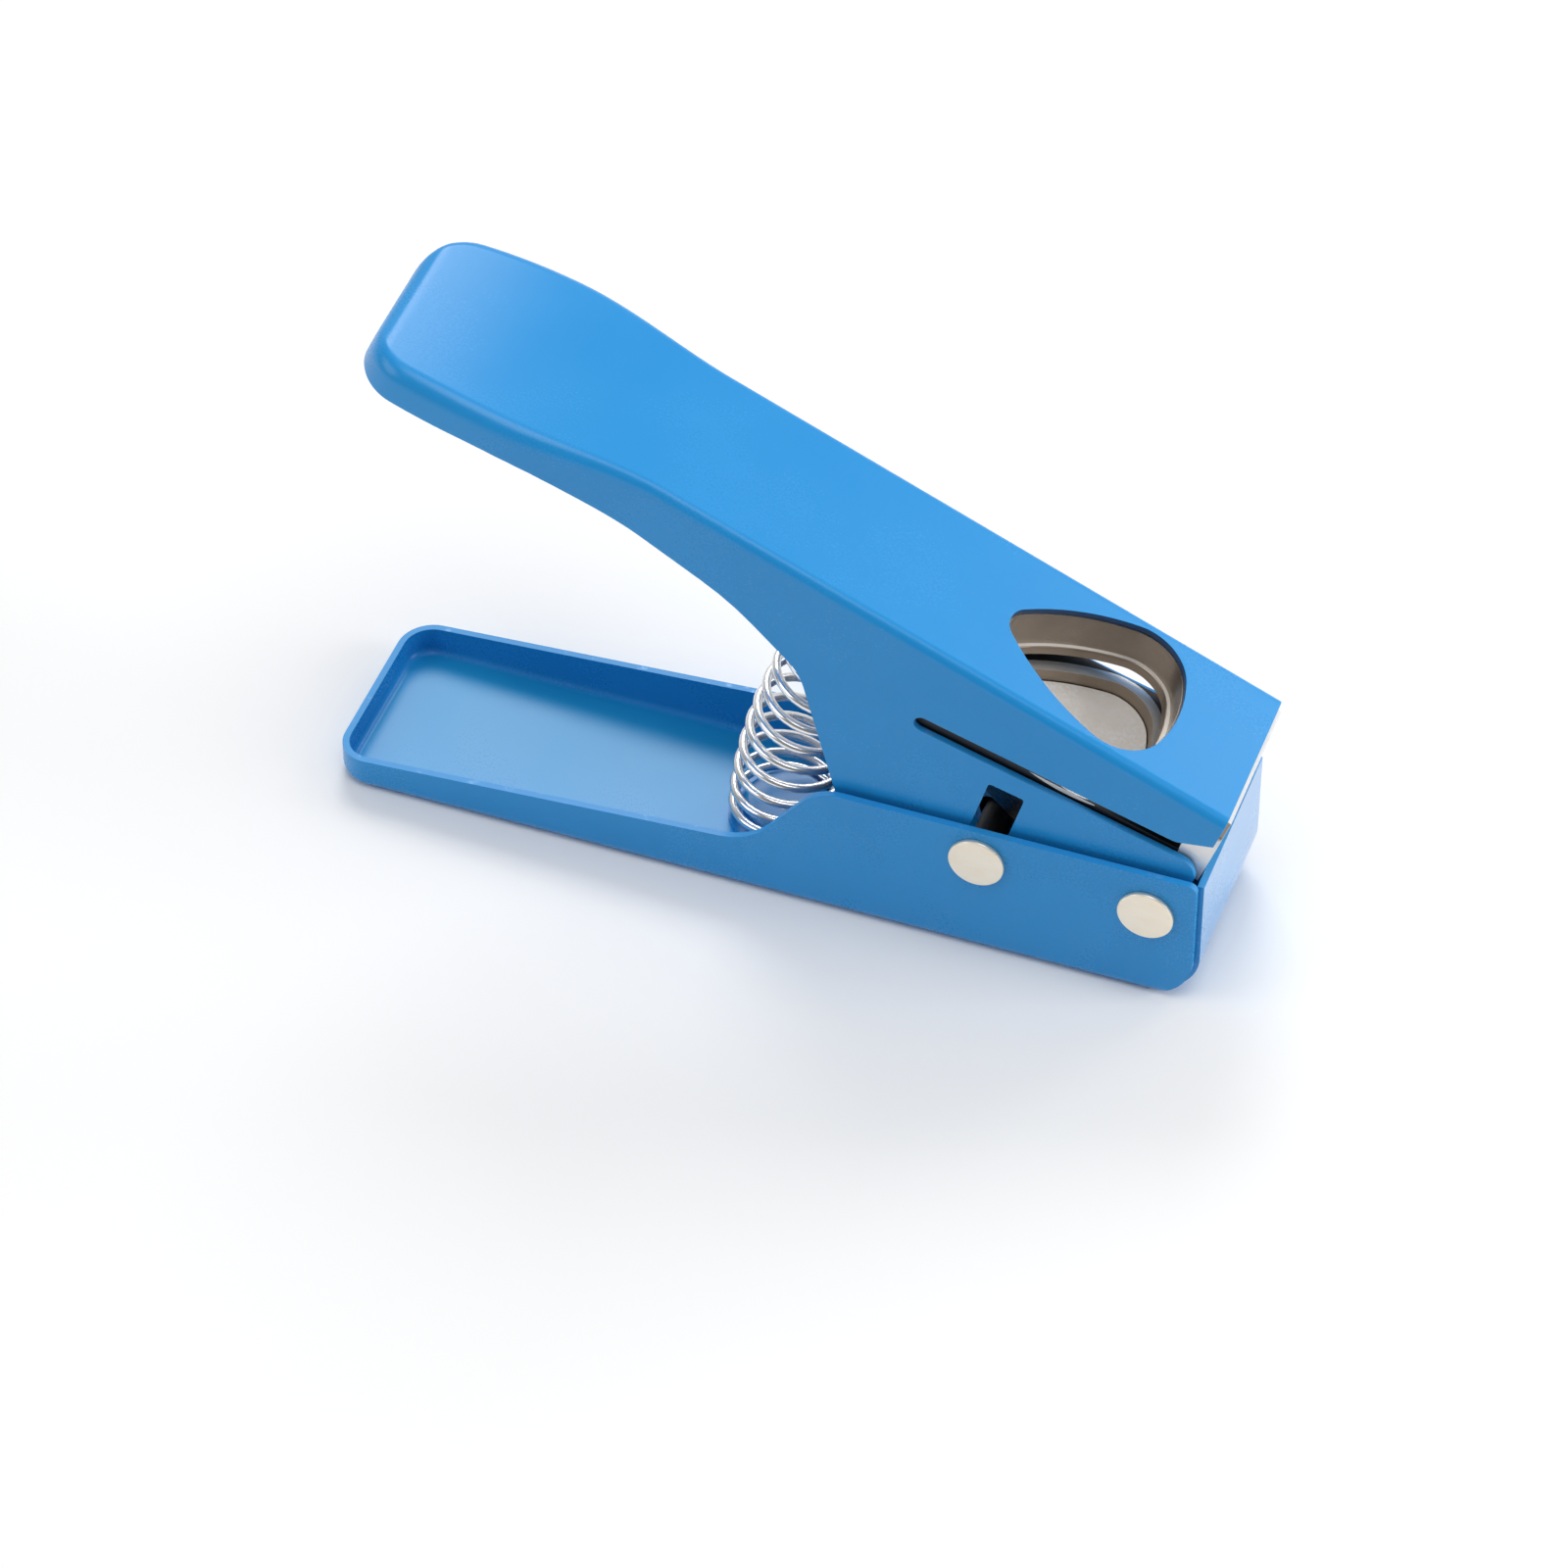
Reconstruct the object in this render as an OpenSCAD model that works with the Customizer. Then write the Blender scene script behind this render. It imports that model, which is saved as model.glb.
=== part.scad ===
// Hand-squeezed punch that cuts plectrums.
// A folded steel base holds a folded lever on a front rivet. A second rivet, fixed in
// the base, carries a plectrum-shaped punch. Squeezing the lever brings the die set down
// over the punch, and a coil spring lifts the lever again.
// Millimetres, +X to the nose, +Z up, origin at the centre of the base's underside.

/* [Base] */
// Length from the rear wall to the front flap's outer face
base_l = 154.8; // [150:0.2:165]
// Width across the side walls
base_w = 36; // [32.4:0.1:42]
// Thickness of the folded sheet
sheet = 1.2; // [1:0.1:1.5]
// Height of the tall side walls round the rivets
wall_h = 27.3; // [26.5:0.1:32]
// Length of the tall side walls, along their top edge
wall_run = 66; // [62:0.5:72]
// Slope length between the tray's rim and the tall walls
wall_slope = 12; // [9:0.5:16]
// Height of the tray's rim at the rear wall
rim_rear_h = 6.1; // [5:0.1:9]
// Height of the tray's rim at the foot of the slope
rim_front_h = 11.4; // [9:0.1:13]
// Corner radius of the rear wall in plan
tray_corner_r = 6; // [5:0.5:9]
// Outside radius of the bend between floor and walls
floor_bend_r = 2.4; // [2:0.1:3]
// Height of the front flap
flap_h = 26.1; // [24:0.1:27]
// Outside radius of the bend that turns the floor up into the flap
flap_bend_r = 9.4; // [7:0.1:11]
// Slit between the flap and each side wall
flap_slit = 0.5; // [0.3:0.1:0.8]
// Distance that the flap stands ahead of the side walls
flap_proud = 0.8; // [0.4:0.1:1.5]

/* [Rivets] */
// Pivot axis, back from the flap's outer face
pivot_set = 9.1; // [8.5:0.1:11]
// Pivot axis, above the underside
pivot_z = 18.8; // [18.5:0.1:20]
// Guide rivet, back from the pivot
guide_back = 29.4; // [28.5:0.1:30.5]
// Guide rivet, above the pivot
guide_up = 2.1; // [1.5:0.1:2.6]
// Diameter of the rivet heads
rivet_head_d = 9.7; // [8.5:0.1:10.5]
// Thickness of the rivet heads
rivet_head_t = 0.95; // [0.7:0.05:1.4]
// Diameter of the pivot rivet's shank
pivot_shank_d = 4.6; // [4:0.1:5]
// Outside diameter of the tube that the lever turns on
pivot_tube_d = 7; // [6.4:0.1:8]
// Diameter of the guide rivet's shank
guide_shank_d = 3.8; // [3:0.1:4]
// Outside diameter of the tube that carries the punch
guide_tube_d = 5.5; // [5:0.1:5.8]
// Diameter of the thrust washers beside the lever
washer_d = 12; // [10.5:0.5:13]

/* [Lever] */
// Angle between the open lever and the fully squeezed one
lift = 23.5; // [20:0.5:24]
// Running gap between the lever's cheeks and the base walls
side_gap = 0.9; // [0.6:0.1:1.2]
// Height of the lever's top above the pivot
top_h = 25.4; // [25:0.1:28]
// Front edge of the lever's top, ahead of the pivot
nose = 2.1; // [1.5:0.1:3.5]
// Front edge of the cheeks at their foot, ahead of the pivot
cheek_nose = 5.2; // [4.8:0.1:6]
// Gap between the squeezed lever's cheeks and the floor
heel_gap = 1.7; // [1.2:0.1:3]
// Rear bottom corner of the cheeks, behind the pivot
heel_back = 53; // [50:0.5:54]
// Tail end of the lever, behind the pivot
tail_back = 156.6; // [150:0.2:164]
// Widest part of the handle
handle_w = 39; // [36:0.2:44]
// Start of the handle's flare, behind the pivot
flare_start = 103; // [98:0.5:108]
// Length of the handle's flare
flare_run = 29; // [24:0.5:33]
// Start of the handle's droop, behind the pivot
droop_start = 103; // [98:0.5:112]
// Radius of the handle's droop, seen from the side
droop_r = 250; // [200:1:320]
// Outside radius of the fold along the straight part
fold_r = 1.9; // [1.7:0.1:2.4]
// Outside radius of the fold along the handle
handle_fold_r = 3; // [2.6:0.1:4.5]
// Corner radius of the tail in plan
tail_corner_r = 7.5; // [6:0.5:11]
// Highest point of the handle's lower edge, above the pivot
waist_up = 17.6; // [15.5:0.1:18]
// Highest point of the handle's lower edge, behind the pivot
waist_back = 128; // [122:0.5:132]
// Bend of the lower edge between cheeks and handle, behind the pivot
neck_back = 85.5; // [82:0.5:90]

/* [Plectrum and die] */
// Length of the plectrum
pick_l = 29.4; // [28:0.1:31]
// Radius of the plectrum's tip
pick_tip_r = 3; // [2.5:0.1:4]
// Radius of the plectrum's shoulders
pick_shoulder_r = 7.6; // [6.5:0.1:9]
// Round end of the plectrum, behind the pivot
pick_set = 11.6; // [11:0.1:12]
// Angle between the die's plane and the lever's top
die_slope = 4.5; // [4.2:0.05:4.8]
// Angle between the feed slot in the cheeks and the lever's top
slot_slope = 6.15; // [6:0.05:6.3]
// Height of the feed slot's floor above the pivot, across the slot
slot_floor = 13.1; // [12.8:0.1:13.6]
// Height of the feed slot in the cheeks
slot_h = 3; // [2.6:0.1:3.2]
// Height of the guide plate's top above the pivot, across the die
guide_top = 13.6; // [13.4:0.1:13.8]
// Gap between the guide plate and the die plate
feed_gap = 4.2; // [4:0.1:4.4]
// Thickness of the die plate
die_plate_t = 1.8; // [1.6:0.1:2]
// Thickness of the guide plate
guide_plate_t = 4.7; // [4.2:0.1:5]
// Distance from the guide plate's top down to the resting punch
punch_sink = 2.7; // [2.5:0.1:3.1]
// Height of the hardened punch
punch_h = 13.5; // [13:0.1:14]
// Height of the foot under the punch
foot_h = 9; // [8.5:0.1:10]
// Ledge of the die plate that shows round the hole inside the collar
die_ledge = 0.9; // [0.5:0.05:1.05]
// Wall of the collar beside the widest part of its hole
die_wall = 0.7; // [0.6:0.05:1]
// Margin of the window in the lever's top round the plectrum
window_margin = 1.15; // [1.1:0.05:1.4]
// Rear end of the plates, behind the pivot
plate_back = 50.5; // [50:0.1:51]

/* [Spring] */
// Outside diameter of the coil
spring_d = 19.8; // [18:0.1:21]
// Diameter of the wire
wire_d = 1.6; // [1.3:0.05:1.7]
// Number of turns
spring_turns = 14; // [12:1:15]
// Lower end of the spring, behind the pivot
spring_back = 69.5; // [68:0.1:71]
// Upper end of the spring on the lever, behind the pivot
spring_top_back = 64.7; // [64:0.1:66]

/* [Hidden] */
$fn = 64;

// Named clearances
pin_clear = 0.05;      // radial, running pins and holes
seat_clear = 0.05;     // between parts that only rest against each other
plate_clear = 0.2;     // die plates to the lever's cheeks
die_clear = 0.06;      // punch to die
guide_clear = 0.1;     // punch to guide plate
slot_clear = 0.15;     // guide tube to the slots that it runs in
guide_slot_spare = 1;  // room left in those slots past the full squeeze
over = 1;              // cutters reach this far past what they cut

// Places that follow from the driving sizes
base_front = base_l / 2;
wall_front = base_front - flap_proud;
inner_half = base_w / 2 - sheet;
lever_half = inner_half - side_gap;
lever_inner_half = lever_half - sheet;
plate_half = lever_inner_half - plate_clear;
collar_half = lever_inner_half - fold_r + sheet;
pick_w = 2 * (collar_half - die_wall - die_ledge);
pivot_x = base_front - pivot_set;
cheek_drop = pivot_z - sheet - heel_gap;
die_tilt = lift - die_slope;
slot_tilt = lift - slot_slope;
tail_fold_r = handle_fold_r;

// Where the guide rivet lies, in a frame that tilts with the lever, once the lever has turned
guide_arm = norm([guide_back, guide_up]);
guide_rise = atan2(guide_up, guide_back);
function guide_u(tilt, turn) = guide_arm * cos(tilt - guide_rise - turn);
function guide_w(tilt, turn) = -guide_arm * sin(tilt - guide_rise - turn);
function guide_u_min(tilt) = min(guide_u(tilt, 0), guide_u(tilt, lift));
function guide_u_mid(tilt) = (guide_u_min(tilt) + guide_arm) / 2;
function guide_u_half(tilt) = (guide_arm - guide_u_min(tilt)) / 2;
// Tilt at which the guide rivet's arc through the cheeks lies straightest
guide_tilt = lift / 2 + guide_rise;

// Levels of the die set across the die's plane
die_floor = guide_top + feed_gap;
collar_floor = die_floor + die_plate_t;
guide_floor = guide_top - guide_plate_t;
punch_top = guide_top - punch_sink;
foot_top = punch_top - punch_h;
foot_floor = foot_top - foot_h;
plate_front = 4.8;     // front end of the plates and the collar, ahead of the pivot

// The feed slot in the slot's own frame
slot_roof = slot_floor + slot_h;
slot_end_set = 2.4;    // closed end, ahead of the plates' rear end
lip_front = 2.7;       // front end of the lower lip
lip_r = 3;             // rounding of the lower lip
mouth_r = 4;           // rounding where the upper edge flares into the mouth

// Arc radii of the plectrum's long sides and round end, as shares of its length and width
pick_side_bow = 1.5;
pick_end_bow = 0.9;

// Corner arcs
function unit(v) = v / norm(v);
function short_turn(a) = a > 180 ? a - 360 : a < -180 ? a + 360 : a;
function arc_points(centre, r, from, turn) =
    let (steps = max(2, ceil(abs(turn) / 9)))
    [for (i = [0 : steps]) centre + r * [cos(from + turn * i / steps), sin(from + turn * i / steps)]];
function corner_points(before, at, after, r) =
    let (u = unit(before - at),
         v = unit(after - at),
         half = acos(u * v) / 2,
         centre = at + unit(u + v) * r / sin(half),
         first = at + u * r / tan(half) - centre,
         last = at + v * r / tan(half) - centre,
         from = atan2(first[1], first[0]))
    arc_points(centre, r, from, short_turn(atan2(last[1], last[0]) - from));
// An outline from corners [x, y, radius], where radius 0 leaves the corner sharp
function plan(c) = [c[0], c[1]];
function rounded_outline(corners) =
    let (n = len(corners))
    [for (i = [0 : n - 1]) each
        corners[i][2] == 0 ? [plan(corners[i])]
        : let (before = plan(corners[(i + n - 1) % n]), after = plan(corners[(i + 1) % n]))
          corner_points(before, plan(corners[i]), after, corners[i][2])];
function smooth_step(t) = let (s = max(0, min(1, t))) s * s * (3 - 2 * s);
// How far a quarter round of radius r has fallen at distance e past its start
function round_drop(r, e) = e <= 0 ? 0 : r - sqrt(max(0, r * r - min(e, r) * min(e, r)));

// A side view drawn in X and Z, given a width across Y
module across(width) {
    rotate([90, 0, 0])
        linear_extrude(width, center = true)
            children();
}
// A round bar along Y
module cross_bar(d, width) {
    rotate([90, 0, 0])
        cylinder(d = d, h = width, center = true);
}
module at_pivot() {
    translate([pivot_x, 0, pivot_z])
        children();
}
// The lever's frame: X along its top, origin on the pivot, drawn as if squeezed
module on_lever() {
    at_pivot()
        rotate([0, lift, 0])
            children();
}
// The die's frame: X along the plates, Z the way the punch travels
module on_die() {
    at_pivot()
        rotate([0, die_tilt, 0])
            children();
}
// The feed slot's frame: X along the slot in the cheeks
module on_slot() {
    at_pivot()
        rotate([0, slot_tilt, 0])
            children();
}
module at_guide() {
    translate([pivot_x - guide_back, 0, pivot_z + guide_up])
        children();
}

// Plectrum outline: tip to the rear, every arc moved outwards by grow
function pick_outline(grow) =
    let (tip = [-pick_set - pick_l + pick_tip_r, 0],
         shoulder_y = pick_w / 2 - pick_shoulder_r,
         end_r = pick_w * pick_end_bow,
         side_r = pick_l * pick_side_bow,
         end_centre = [-pick_set - end_r, 0],
         shoulder_x = end_centre[0] + sqrt(pow(end_r - pick_shoulder_r, 2) - shoulder_y * shoulder_y),
         shoulder = [shoulder_x, shoulder_y],
         // the side arc touches the tip's arc and the shoulder's arc from outside both
         d = norm(shoulder - tip),
         a = side_r - pick_tip_r,
         b = side_r - pick_shoulder_r,
         along = (a * a - b * b + d * d) / (2 * d),
         axis = unit(shoulder - tip),
         side_centre = tip + axis * along + [axis[1], -axis[0]] * sqrt(a * a - along * along),
         shoulder_from = atan2(shoulder[1] - end_centre[1], shoulder[0] - end_centre[0]),
         side_from = atan2(shoulder[1] - side_centre[1], shoulder[0] - side_centre[0]),
         side_to = atan2(tip[1] - side_centre[1], tip[0] - side_centre[0]),
         half = [each arc_points(end_centre, end_r + grow, 0, shoulder_from),
                 each arc_points(shoulder, pick_shoulder_r + grow, shoulder_from, side_from - shoulder_from),
                 each arc_points(side_centre, side_r + grow, side_from, side_to - side_from),
                 each arc_points(tip, pick_tip_r + grow, side_to, 180 - side_to)],
         kept = [for (i = [0 : len(half) - 1]) if (i == 0 || norm(half[i] - half[i - 1]) > 0.01) half[i]])
    [each kept, for (i = [len(kept) - 2 : -1 : 1]) [kept[i][0], -kept[i][1]]];
module pick_prism(grow, from, to) {
    translate([0, 0, from])
        linear_extrude(to - from)
            polygon(pick_outline(grow));
}

// The base
// Half of the tray's section: a wall with a rounded foot
module footed_square(w, h, r, z) {
    translate([0, z + r])
        square([w, h - r]);
    translate([0, z])
        square([w - r, h]);
    translate([w - r, z + r])
        circle(r);
}
// Everything inside the tray's skin, moved inwards by inset
module tray_block(inset, front) {
    half = base_w / 2 - inset;
    rear = -base_l / 2 + inset;
    corner = tray_corner_r - inset;
    foot = floor_bend_r - inset;
    height = wall_h + 2 * over;
    translate([front, 0, 0])
        rotate([90, 0, -90])
            linear_extrude(front - rear - corner)
                for (side = [0, 1])
                    mirror([side, 0])
                        footed_square(half, height, foot, inset);
    translate([rear + corner, 0, 0])
        mirror([1, 0, 0])
            across(2 * (half - corner))
                footed_square(corner, height, foot, inset);
    for (side = [-1, 1])
        translate([rear + corner, side * (half - corner), 0])
            rotate_extrude()
                footed_square(corner, height, foot, inset);
}
// Corner radii of the walls' side view
wall_nose_r = 1.5;
slope_top_r = 9;
slope_foot_r = 12;
// Side view of the walls: low rim, slope and tall cheeks
module wall_outline() {
    slope_top = wall_front - wall_run;
    polygon(rounded_outline([
        [-base_l / 2 - over, -over, 0],
        [wall_front, -over, 0],
        [wall_front, wall_h, wall_nose_r],
        [slope_top, wall_h, slope_top_r],
        [slope_top - wall_slope, rim_front_h, slope_foot_r],
        [-base_l / 2 - over, rim_rear_h, 0]]));
}
module base_shell() {
    bend_x = base_front - flap_bend_r;
    color("#3d96dc")
    difference() {
        union() {
            difference() {
                intersection() {
                    difference() {
                        tray_block(0, wall_front);
                        tray_block(sheet, wall_front + over);
                    }
                    across(base_w + 2 * over)
                        wall_outline();
                }
                // slits beside the flap
                translate([bend_x, -inner_half, -over])
                    cube([flap_bend_r + over, 2 * inner_half, wall_h]);
                // rounded front foot of the side walls
                across(base_w + 2 * over)
                    difference() {
                        translate([wall_front - flap_bend_r, -over])
                            square([flap_bend_r + over, flap_bend_r + over]);
                        translate([wall_front - flap_bend_r, flap_bend_r])
                            circle(flap_bend_r);
                    }
            }
            // the flap, bent up out of the floor
            across(2 * (inner_half - flap_slit)) {
                translate([base_front - sheet, flap_bend_r])
                    square([sheet, flap_h - flap_bend_r]);
                translate([bend_x - sheet, 0])
                    square([sheet, sheet]);
                intersection() {
                    translate([bend_x, 0])
                        square([flap_bend_r, flap_bend_r]);
                    translate([bend_x, flap_bend_r])
                        difference() {
                            circle(flap_bend_r);
                            circle(flap_bend_r - sheet);
                        }
                }
            }
        }
        at_pivot()
            cross_bar(pivot_shank_d + 2 * pin_clear, base_w + 2 * over);
        at_guide()
            cross_bar(guide_shank_d + 2 * pin_clear, base_w + 2 * over);
    }
}

// Rivets, tubes and washers
// A shank with a flat, slightly eased head outside each base wall
rivet_ease = 0.3;
module rivet(shank_d) {
    rotate([90, 0, 0]) {
        cylinder(d = shank_d, h = base_w, center = true);
        for (side = [0, 1])
            mirror([0, 0, side])
                translate([0, 0, base_w / 2])
                    rotate_extrude()
                        polygon([[0, 0], [rivet_head_d / 2, 0], [rivet_head_d / 2, rivet_head_t - rivet_ease],
                                 [rivet_head_d / 2 - rivet_ease, rivet_head_t], [0, rivet_head_t]]);
    }
}
module tube(outer_d, bore_d) {
    difference() {
        cross_bar(outer_d, 2 * (inner_half - seat_clear));
        cross_bar(bore_d + 2 * pin_clear, base_w);
    }
}
module pivot_rivet() {
    color("#e9e4d6")
    at_pivot()
        rivet(pivot_shank_d);
}
module guide_rivet() {
    color("#e9e4d6")
    at_guide()
        rivet(guide_shank_d);
}
module pivot_tube() {
    color("#b9bbbd")
    at_pivot()
        tube(pivot_tube_d, pivot_shank_d);
}
module guide_tube() {
    color("#b9bbbd")
    at_guide()
        tube(guide_tube_d, guide_shank_d);
}
module pivot_washers() {
    color("#c9c9c6")
    at_pivot()
        for (side = [-1, 1])
            translate([0, side * (lever_half + side_gap / 2), 0])
                difference() {
                    cross_bar(washer_d, side_gap - 2 * seat_clear);
                    cross_bar(pivot_tube_d + 2 * pin_clear, side_gap);
                }
}

// The lever
handle_side_r = 117;   // bow of the handle's sides behind its widest part, in plan
// The lever's measures at a distance behind the pivot
function lever_half_at(back) =
    lever_half + (handle_w / 2 - lever_half) * smooth_step((back - flare_start) / flare_run)
    - pow(max(0, back - flare_start - flare_run), 2) / (2 * handle_side_r);
function lever_top_at(back) = top_h - round_drop(droop_r, back - droop_start);
function lever_fold_at(back) =
    fold_r + (handle_fold_r - fold_r) * smooth_step((back - flare_start) / flare_run);
// Stations along the lever: ends of the straight part, the flare, then the tail's quarter round
function lever_stations(inset, front) =
    let (end = tail_back - inset,
         corner = tail_corner_r - inset,
         curve_from = min(flare_start, droop_start),
         steps = 16)
    [-front,
     for (i = [0 : steps]) curve_from + (end - corner - curve_from) * i / steps,
     for (a = [18, 34, 48, 60, 70, 80, 90]) end - corner + corner * sin(a)];
function lever_ring(back, inset, depth) =
    let (end = tail_back - inset,
         corner = tail_corner_r - inset,
         tail_fold = tail_fold_r - inset,
         half = lever_half_at(back) - inset - round_drop(corner, back - end + corner),
         top = lever_top_at(back) - inset - round_drop(tail_fold, back - end + tail_fold),
         fold = lever_fold_at(back) - inset)
    [[-back, half, -depth],
     for (a = [0 : 18 : 90]) [-back, half - fold + fold * cos(a), top - fold + fold * sin(a)],
     for (a = [90 : -18 : 0]) [-back, -half + fold - fold * cos(a), top - fold + fold * sin(a)],
     [-back, -half, -depth]];
// A solid skinned over rings of equal length
module skin(rings) {
    n = len(rings[0]);
    last = len(rings) - 1;
    points = [for (ring = rings) each ring];
    sides = [for (i = [0 : last - 1]) for (j = [0 : n - 1])
        let (a = i * n + j, b = i * n + (j + 1) % n)
        each [[a, b, b + n], [a, b + n, a + n]]];
    polyhedron(points, [[for (j = [n - 1 : -1 : 0]) j], each sides, [for (j = [0 : n - 1]) last * n + j]]);
}
module lever_block(inset, front) {
    skin([for (back = lever_stations(inset, front)) lever_ring(back, inset, cheek_drop + 4 * over)]);
}
// Corner radii of the side view
cheek_foot_r = 9;
heel_r = 3;
throat_r = 12;
neck_r = 45;
waist_r = 55;
// Side view: cheeks round the rivets, throat, then the handle's lower edge
module lever_outline() {
    roof = top_h + 4 * over;
    tail = tail_back + 4 * over;
    // rise of the lower edge per length, from the heel to the tail
    heel_slope = 1.29;
    throat_slope = 0.4;
    neck_slope = 0.138;
    tail_slope = 0.16;
    // corners where those slopes meet, worked back from the waist and the heel
    neck_up = waist_up - neck_slope * (waist_back - neck_back);
    throat_back = (neck_up - throat_slope * neck_back + cheek_drop + heel_slope * heel_back)
                  / (heel_slope - throat_slope);
    throat_up = neck_up - throat_slope * (neck_back - throat_back);
    polygon(rounded_outline([
        [nose, roof, 0],
        [nose, top_h, 0],
        [cheek_nose, -cheek_drop, cheek_foot_r],
        [-heel_back, -cheek_drop, heel_r],
        [-throat_back, throat_up, throat_r],
        [-neck_back, neck_up, neck_r],
        [-waist_back, waist_up, waist_r],
        [-tail, waist_up - tail_slope * (tail - waist_back), 0],
        [-tail, roof, 0]]));
}
// Side view of the feed slot, open and flared at the nose
module slot_outline() {
    end = plate_back - slot_end_set;
    end_r = slot_h / 2 - seat_clear;
    lip_drop = 4;
    mouth = cheek_nose + 4 * over;
    mouth_from = -1.2;
    mouth_rise = 0.48;
    polygon(rounded_outline([
        [-end, slot_roof, end_r],
        [-end, slot_floor, end_r],
        [lip_front, slot_floor, lip_r],
        [cheek_nose, slot_floor - lip_drop, 0],
        [mouth, slot_floor - lip_drop, 0],
        [mouth, slot_roof + mouth_rise * (mouth - mouth_from), 0],
        [mouth_from, slot_roof, mouth_r]]));
}
module lever_shell() {
    through = handle_w + 4 * over;
    guide_slot_w = 2 * guide_u_half(guide_tilt) + guide_tube_d + 2 * slot_clear;
    guide_slot_low = guide_w(guide_tilt, 0) - guide_tube_d / 2 - slot_clear;
    guide_slot_top = guide_w(guide_tilt, lift) + guide_tube_d / 2 + guide_slot_spare;
    color("#3d96dc")
    difference() {
        on_lever()
            intersection() {
                difference() {
                    lever_block(0, cheek_nose + over);
                    lever_block(sheet, cheek_nose + 2 * over);
                }
                across(through)
                    lever_outline();
            }
        on_slot()
            across(through)
                slot_outline();
        at_pivot()
            rotate([0, guide_tilt, 0])
                translate([-guide_u_mid(guide_tilt) - guide_slot_w / 2, -through / 2, guide_slot_low])
                    cube([guide_slot_w, through, guide_slot_top - guide_slot_low]);
        on_die()
            pick_prism(window_margin, collar_floor + over, top_h + 2 * sheet + 6 * over);
        at_pivot()
            cross_bar(pivot_tube_d + 2 * pin_clear, through);
    }
}

// The return spring and its seats
seat_flange_t = 0.8;
seat_plug_h = 4;
seat_plug_ease = 1;
coil_clear = 0.9;      // between the plug and the coil round it
seat_plug_d = spring_d - 2 * wire_d - 2 * coil_clear;
lower_seat_z = sheet + seat_flange_t;
spring_x = pivot_x - spring_back;
upper_seat_up = top_h - sheet - seat_flange_t;
// A flanged plug that the spring's end drops over
module spring_seat() {
    rotate_extrude()
        polygon([[0, 0], [spring_d / 2, 0], [spring_d / 2, seat_flange_t], [seat_plug_d / 2, seat_flange_t],
                 [seat_plug_d / 2, seat_plug_h - seat_plug_ease],
                 [seat_plug_d / 2 - seat_plug_ease, seat_plug_h], [0, seat_plug_h]]);
}
module lower_spring_seat() {
    color("#4a9ee0")
    translate([spring_x, 0, sheet])
        spring_seat();
}
module upper_spring_seat() {
    color("#4a9ee0")
    on_lever()
        translate([-spring_top_back, 0, top_h - sheet])
            mirror([0, 0, 1])
                spring_seat();
}
// The coil's centre line bends from upright at the base to square with the lever's top
end_turn_gap = 0.95;   // between the close turns at each end
flange_gap = 0.15;     // between the end turns and the seats' flanges
spring_upright = 0.75; // how firmly the foot of the coil stands upright, as a share of its span
spring_end_pitch = wire_d + end_turn_gap;
spring_seat_gap = wire_d / 2 + flange_gap;
spring_foot = [spring_x, lower_seat_z + spring_seat_gap];
spring_head_level = upper_seat_up - spring_seat_gap;
spring_head = [pivot_x - spring_top_back * cos(lift) + spring_head_level * sin(lift),
               pivot_z + spring_top_back * sin(lift) + spring_head_level * cos(lift)];
spring_span = norm(spring_head - spring_foot);
spring_stand = spring_upright * spring_span;
function spring_axis(t) =
    (2 * t * t * t - 3 * t * t + 1) * spring_foot + (t * t * t - 2 * t * t + t) * spring_stand * [0, 1]
    + (3 * t * t - 2 * t * t * t) * spring_head + (t * t * t - t * t) * spring_span * [sin(lift), cos(lift)];
function spring_way(t) =
    unit((6 * t * t - 6 * t) * spring_foot + (3 * t * t - 4 * t + 1) * spring_stand * [0, 1]
    + (6 * t - 6 * t * t) * spring_head + (3 * t * t - 2 * t) * spring_span * [sin(lift), cos(lift)]);
// Share of the centre line reached after a number of turns, with close turns at both ends
function spring_share(turn) =
    let (low = spring_end_pitch / spring_stand,
         high = spring_end_pitch / spring_span)
    turn < 1 ? low * turn
    : turn > spring_turns - 1 ? 1 - high * (spring_turns - turn)
    : low + (1 - low - high) * (turn - 1) / (spring_turns - 2);
rings_per_turn = 8;
wire_sides = 6;
spring_r = (spring_d - wire_d) / 2;
spring_rings = [for (i = [0 : spring_turns * rings_per_turn]) i / rings_per_turn];
function spring_out(turn) =
    let (way = spring_way(spring_share(turn)))
    [cos(360 * turn) * way[1], sin(360 * turn), -cos(360 * turn) * way[0]];
function spring_centre(turn) =
    let (c = spring_axis(spring_share(turn)))
    [c[0], 0, c[1]] + spring_r * spring_out(turn);
function wire_ring(turn) =
    let (way = spring_way(spring_share(turn)),
         out = spring_out(turn),
         up = [way[0], 0, way[1]])
    [for (k = [0 : wire_sides - 1])
        let (a = 360 * k / wire_sides)
        spring_centre(turn) + wire_d / 2 * (cos(a) * out + sin(a) * up)];
spring_points = [for (turn = spring_rings) spring_centre(turn)];
spring_least_gap = min([for (i = [0 : len(spring_points) - 1])
    for (j = [i + 6 : 1 : min(len(spring_points) - 1, i + 2 * rings_per_turn)])
        norm(spring_points[i] - spring_points[j])]) - wire_d;
module return_spring() {
    echo(spring_least_gap_mm = spring_least_gap);
    color("#cfd2d4")
    skin([for (turn = spring_rings) wire_ring(turn)]);
}

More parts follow.
